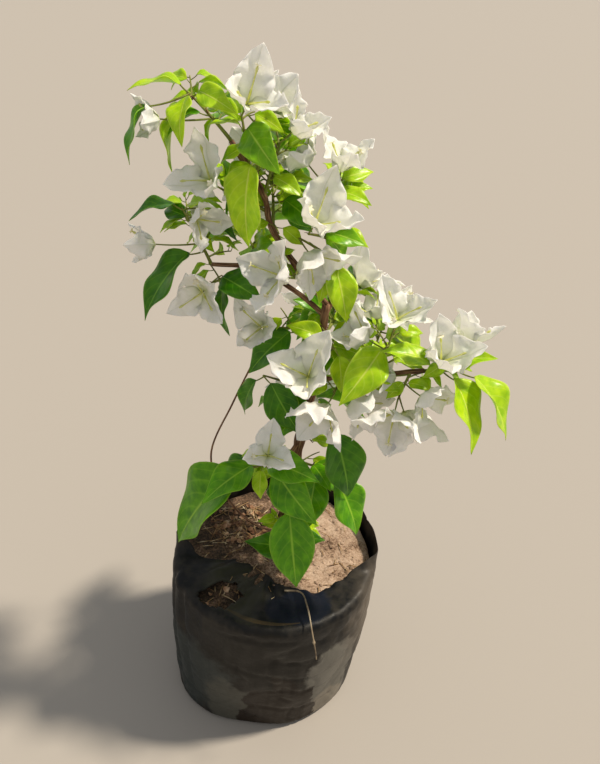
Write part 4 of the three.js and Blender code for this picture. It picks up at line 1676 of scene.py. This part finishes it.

# %% [markdown]
# The film is low-density polythene, blown thin and dyed with soot: black, soft and slightly
# glossy where it is clean. Soil has dried on it in grey-brown veils and run down its foot. Some
# veils also hold painted light: a painted sheen of the sky over the dried soil at the lower left
# and at the lower right, and under the flap's free edge a painted shadow, blue with a painted
# reflection. One noise over all of it would look like marble. The veils have places, so a list
# gives each its heading, its way up the film, its size, colour and softness, and noise only frays
# their edges.

# %% Film finish
FILM_CLEAN = "#0d0e0f"
FILM_DUST = "#4a443b"
STREAK = (9, 90)
VEIL_FRAY = 1.2
VEIL_EDGE = 1.6
# Heading and half-width in degrees, way up the film and half-height in millimetres, colour,
# strength and softness of the edge.
DUST_AND_LIGHT_VEILS = (
    (-96, 44, 110, 90, "#16130d", 0.85, 0.3),
    # Dried soil with a painted grey-blue sheen of the sky over it, at the lower left.
    (-138, 36, 70, 66, "#353b39", 0.75, 0.3),
    (-114, 18, 44, 56, "#4a4941", 0.8, 0.25),
    # These two at the lower right: dried soil with a painted grey sheen over it.
    (-50, 20, 84, 72, "#6a675f", 0.9, 0.16),
    (-50, 16, 22, 42, "#80786b", 0.8, 0.16),
    (-18, 30, 150, 78, "#665d52", 0.8, 0.6),
    (74, 50, 0, 46, "#4f463b", 0.7, 0.5),
    (168, 44, 6, 40, "#4b4438", 0.6, 0.5),
    (-128, 34, 230, 34, "#38362a", 0.8, 0.3),
    # A painted shadow under the flap's free edge, tinted blue as a painted reflection of the sky.
    (-72, 28, 222, 21, "#0b1322", 0.9, 0.2),
    (-98, 24, 206, 1.9, "#473b25", 0.7, 0.1),
    (-82, 25, 4, 108, "#190f05", 1.0, 0.05),
    (-58, 34, 0, 15, "#1f1308", 1.0, 0.05),
)


def film_finish():
    """Polythene film: soft black gloss where clean, dull with dried soil, painted sheen and shadow.
    """
    material, tree, shader, where = finish_named("black_polythene_film")
    east, north, high = add(tree, "SeparateXYZ", Vector=where).outputs
    angle = add(tree, "Math", "ARCTAN2", i0=north, i1=east)
    level = add(tree, "CombineXYZ", X=east, Y=north)
    spread = add(tree, "VectorMath", "LENGTH", i0=level).outputs["Value"]
    inside = add(tree, "Math", "SUBTRACT", i0=RIM_RADIUS * MM, i1=spread)
    past = add(tree, "Math", "MAXIMUM", i0=inside, i1=0.0)
    climb = add(tree, "Math", "ADD", i0=high, i1=past)
    fray = add(tree, "TexNoise", Vector=where, Scale=per(26), Detail=6, Roughness=0.6)
    scale = (per(STREAK[0]), per(STREAK[0]), per(STREAK[1]))
    streak = add(tree, "Mapping", Vector=where, Scale=scale)
    run = add(tree, "TexNoise", Vector=streak, Scale=1, Detail=5)
    both = add(tree, "Math", "MULTIPLY_ADD", i0=run, i1=0.8, i2=fray)
    dust = add(tree, "MapRange", Value=both, i1=0.82, i2=1.25, i3=0.0, i4=0.5)
    clean, dusty = paint(FILM_CLEAN), paint(FILM_DUST)
    colour = add(tree, "Mix", COLOURS, Factor=dust, A=clean, B=dusty)
    spot = add(tree, "CombineXYZ", X=angle, Y=climb)
    for heading, broad, height, tall, code, strength, soft in DUST_AND_LIGHT_VEILS:
        middle = (math.radians(heading), height * MM, 0)
        half = (math.radians(broad), tall * MM, 1)
        off = add(tree, "VectorMath", "SUBTRACT", i0=spot, i1=middle)
        share = add(tree, "VectorMath", "DIVIDE", i0=off, i1=half)
        far = add(tree, "VectorMath", "LENGTH", i0=share).outputs["Value"]
        edge = add(tree, "Math", "MULTIPLY_ADD", i0=fray, i1=VEIL_FRAY, i2=far)
        sharp = VEIL_EDGE - soft
        # How much of each veil's colour shows; the veils are dried soil, painted sheens and a
        # painted shadow.
        dust_and_light_veil = add(tree, "MapRange", Value=edge, i1=sharp, i2=VEIL_EDGE, i3=strength, i4=0.0)
        colour = add(tree, "Mix", COLOURS, Factor=dust_and_light_veil, A=colour, B=paint(code))
    specks = add(tree, "TexNoise", Vector=where, Scale=per(2.2), Detail=2)
    gloss = add(tree, "Math", "MULTIPLY_ADD", i0=specks, i1=0.25, i2=dust)
    rough = add(tree, "MapRange", Value=gloss, i1=0.1, i2=0.8, i3=0.42, i4=0.72)
    wrinkle = add(tree, "TexNoise", Vector=where, Scale=per(7), Detail=6)
    bump = add(tree, "Bump", Strength=0.4, Distance=0.001, Height=wrinkle)
    feed(tree, shader, Base_Color=colour, Roughness=rough, Normal=bump, Specular_IOR_Level=0.22)
    return material


grow_bag = piece("grow_bag_film", bag, film_finish())
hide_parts("grow_bag")
# The veils counted here are dried soil, painted sheens and a painted shadow.
print(len(DUST_AND_LIGHT_VEILS), "veils of dried soil")

# %% [markdown]
# ## Soil
#
# The bag is filled with dry sandy loam, pinkish brown, with painted shade that darkens it towards
# the left and lightens it a little towards the sunlit right. A displaced plane would leave a gap
# under the film. The soil is a spun disc with a wall and a floor, closed like a cake, its top
# roughened by noise.

# %% Soil mesh
SOIL_RINGS = 56
SOIL_SIDES = 200
SOIL_FLOOR = 2
SOIL_RIM = SOIL_TOP - 3
SOIL_CLEAR = 7.5
# How often lumps come in the soil, and how high they are, from clods to crumbs.
LUMPS = ((0.045, 2.6), (0.13, 1.4), (0.4, 0.7))


def soil_height(point):
    return SOIL_TOP - 2.5 + sum(noise.noise(point * often) * high for often, high in LUMPS)


def spin_soil():
    bm = bmesh.new()
    spots = [Vector((share / SOIL_RINGS, 0, 1)) for share in range(SOIL_RINGS + 1)]
    spots += [Vector((1, 0, 0.66)), Vector((1, 0, 0.33)), Vector((1, 0, 0)), Vector((0, 0, 0))]
    profile = [bm.verts.new(spot) for spot in spots]
    edges = [bm.edges.new(pair) for pair in zip(profile, profile[1:])]
    bmesh.ops.spin(
        bm, geom=profile + edges, axis=(0, 0, 1), cent=(0, 0, 0),
        angle=2 * math.pi, steps=SOIL_SIDES, use_merge=True,
    )
    bmesh.ops.remove_doubles(bm, verts=bm.verts, dist=1e-4)
    for vertex in bm.verts:
        spread = math.hypot(vertex.co.x, vertex.co.y)
        heading = math.degrees(math.atan2(vertex.co.y, vertex.co.x))
        height = mix(SOIL_FLOOR, SOIL_RIM, vertex.co.z)
        wall = bag_radius(heading, height) - FILM - SOIL_CLEAR
        flat = direction(heading, 0) * (wall * spread)
        vertex.co = flat + UP * (soil_height(flat) if vertex.co.z > 0.99 else height)
    bmesh.ops.recalc_face_normals(bm, faces=bm.faces)
    return bm


# %% Soil finish
GRAIN = 1.5
# Where the painted shade grades across the soil, from dark at the left to light at the right.
PAINTED_SHADE_BAND = {"east": -6, "wide": 60}


def soil_finish():
    """Sandy loam: matt grains from pale pink to damp brown, darker to the left with painted shade.
    """
    material, tree, shader, where = finish_named("dry_sandy_loam")
    patch = add(tree, "TexNoise", Vector=where, Scale=per(30), Detail=7, Roughness=0.65)
    cells = add(tree, "TexVoronoi", Vector=where, Scale=per(GRAIN)).outputs["Color"]
    grain = add(tree, "SeparateXYZ", Vector=cells)
    east = add(tree, "SeparateXYZ", Vector=where)
    # Painted shade: darker towards the left and a little lighter towards the sunlit right.
    low = (PAINTED_SHADE_BAND["east"] - PAINTED_SHADE_BAND["wide"] / 2) * MM
    high = (PAINTED_SHADE_BAND["east"] + PAINTED_SHADE_BAND["wide"] / 2) * MM
    painted_sun_and_shade = add(tree, "MapRange", Value=east, i1=low, i2=high, i3=-0.2, i4=0.06)
    shade = add(tree, "Math", "MULTIPLY_ADD", i0=grain, i1=0.2, i2=patch)
    sun_side = add(tree, "Math", "ADD", i0=shade, i1=painted_sun_and_shade)
    stops = [(0.3, "#33271c"), (0.48, "#6b533f"), (0.62, "#a18670"), (0.84, "#c4ab95")]
    colour = add(tree, "ValToRGB", stops=stops, Fac=sun_side)
    bump = add(tree, "Bump", Strength=0.8, Distance=0.0012, Height=shade)
    feed(tree, shader, Base_Color=colour, Roughness=0.95, Normal=bump)
    return material


loam = soil_finish()
soil = piece("potting_soil_top", spin_soil(), loam)
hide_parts("potting_soil")

# %% [markdown]
# ## Litter on the soil
#
# Crumbs and small stones lie all over the soil. Broken straw and curled flakes of old bracts lie
# in a mat at the left of the stem, and a few in the torn hole. Painted on, they would cast no
# shadow and would look flat beside the film's edge. They are small meshes of few faces, strewn
# by a seeded draw and joined, because instances would be lost in an export.

# %% Stones, crumbs and straw
LITTER_REACH = 92
CRUMB_SIZE = (0.7, 3.2)
CRUMB_FLAT = 0.7
STRAW_LONG = (6, 24)
STRAW_THICK = (0.6, 0.35)
STRAW_SLOPE = (-4, 16)
STRAW_BOW = 0.12
STRAW_LIFT = 1.4


def strew(count, seed, make, middle=Vector((0, 0, 0)), radius=LITTER_REACH):
    """Many small things, each made by make(draw, spot) at a seeded spot on the soil."""
    draw = seeded(seed)
    for _ in range(count):
        spot = middle + direction(360 * next(draw), 0) * (radius * next(draw) ** 0.5)
        yield make(draw, spot + UP * soil_height(spot))


def crumb(draw, spot):
    bm = bmesh.new()
    bm.loops.layers.uv.new("UVMap")
    size = mix(*CRUMB_SIZE, next(draw) ** 3)
    bmesh.ops.create_icosphere(bm, subdivisions=1, radius=size)
    for vertex in bm.verts:
        vertex.co *= 1 + 0.5 * noise.noise(vertex.co * 0.9 + spot)
        vertex.co.z *= CRUMB_FLAT
    bmesh.ops.translate(bm, vec=spot, verts=bm.verts)
    return bm


def straw_bit(draw, spot):
    length = mix(*STRAW_LONG, next(draw) ** 1.6)
    lie = direction(360 * next(draw), mix(*STRAW_SLOPE, next(draw)))
    bow = Vector((0, 0, length * STRAW_BOW * next(draw)))
    start = spot - lie * length / 2 + UP * STRAW_LIFT
    end = spot + lie * length / 2 + UP * STRAW_LIFT
    return thin_tube(start, end, bow, STRAW_THICK, steps=4, sides=5)


# %% Flakes
FLAKE_GRID = (4, 5)
FLAKE_THICK = 0.25
FLAKE_LIFT = 1.8
FLAKE_SIZE = (3, 9)
FLAKE_TILT = (-40, 40)
FLAKE_CURL = (0.4, 1.6)


def flake(draw, spot):
    """A curled scrap of a dry leaf or bract."""
    size = mix(*FLAKE_SIZE, next(draw) ** 1.5)
    turn = Matrix.Rotation(math.radians(360 * next(draw)), 3, "Z")
    tilt = Matrix.Rotation(math.radians(mix(*FLAKE_TILT, next(draw))), 3, "X")
    curl = mix(*FLAKE_CURL, next(draw))

    def place(across, along):
        ragged = 0.75 + 0.5 * noise.noise(Vector((across * 3, along * 4, size)))
        side = (across - 0.5) * max(math.sin(math.pi * along), 0) ** 0.7 * ragged
        ahead = along - 0.5
        rise = side * side * 3 * curl + ahead * ahead * curl
        return spot + UP * FLAKE_LIFT + turn @ tilt @ Vector((side, ahead, rise)) * size

    return sheet(*FLAKE_GRID, place, thick=FLAKE_THICK, slot=1)


# %% Litter in its places
STRAW_MAT = {"middle": Vector((-52, 36, 0)), "radius": 34}
HOLE_MAT = {"middle": Vector((-56, -67, 0)), "radius": 19}
# How many, the seed, what it is and where it lies.
LITTER = (
    (80, 306, straw_bit, {}),
    (95, 308, straw_bit, STRAW_MAT),
    (60, 310, flake, STRAW_MAT),
    (8, 309, straw_bit, HOLE_MAT),
    (5, 311, flake, HOLE_MAT),
)
# Weathered plant litter: dry, fibrous and matt, its tone uneven from bit to bit.
DRY = (0.8, 11)
dry_straw = mottled_finish(
    "weathered_straw", *DRY, (0.35, "#6b4a2c"), (0.5, "#a58457"), (0.68, "#d6c4a2")
)
dry_flake = mottled_finish(
    "faded_dry_bract", *DRY, (0.35, "#6e4a32"), (0.5, "#a57c5c"), (0.68, "#cdb195")
)
crumbs = piece("soil_crumbs", joined(strew(1000, 305, crumb)), loam, smooth=False)
bits = [bit for count, seed, make, mat in LITTER for bit in strew(count, seed, make, **mat)]
piece("straw_mulch", joined(bits), dry_straw, dry_flake)

# %% [markdown]
# One dry stalk lies across the soil at the front and hangs down over the film. A straight rod
# would look like a tool left behind, so its curve has a kink at the film's edge and a knot
# half-way down, as a dead side shoot has.

# %% Dry stalk
DRY_ROUTE = (
    (9, -62, 200), (26, -66, 204), (33, -84, 206),
    (39, -107, 199), (43, -114, 184), (46, -113, 164),
)
DRY_WIDTH = (0.9, 0.6)
KNOT = {"at": 0.72, "long": 0.02, "thick": 0.9}


def dry_width(share):
    return mix(*DRY_WIDTH, share) + KNOT["thick"] * swell(share, KNOT["at"], KNOT["long"])


dry_stalk = mottled_finish(
    "weathered_grey_stalk", *DRY, (0.35, "#5b4c3c"), (0.5, "#8b7a62"), (0.68, "#b3a48a")
)
piece("dry_stalk", limb_skin(spline(DRY_ROUTE), dry_width, 8, 60, relief=0.2), dry_stalk)
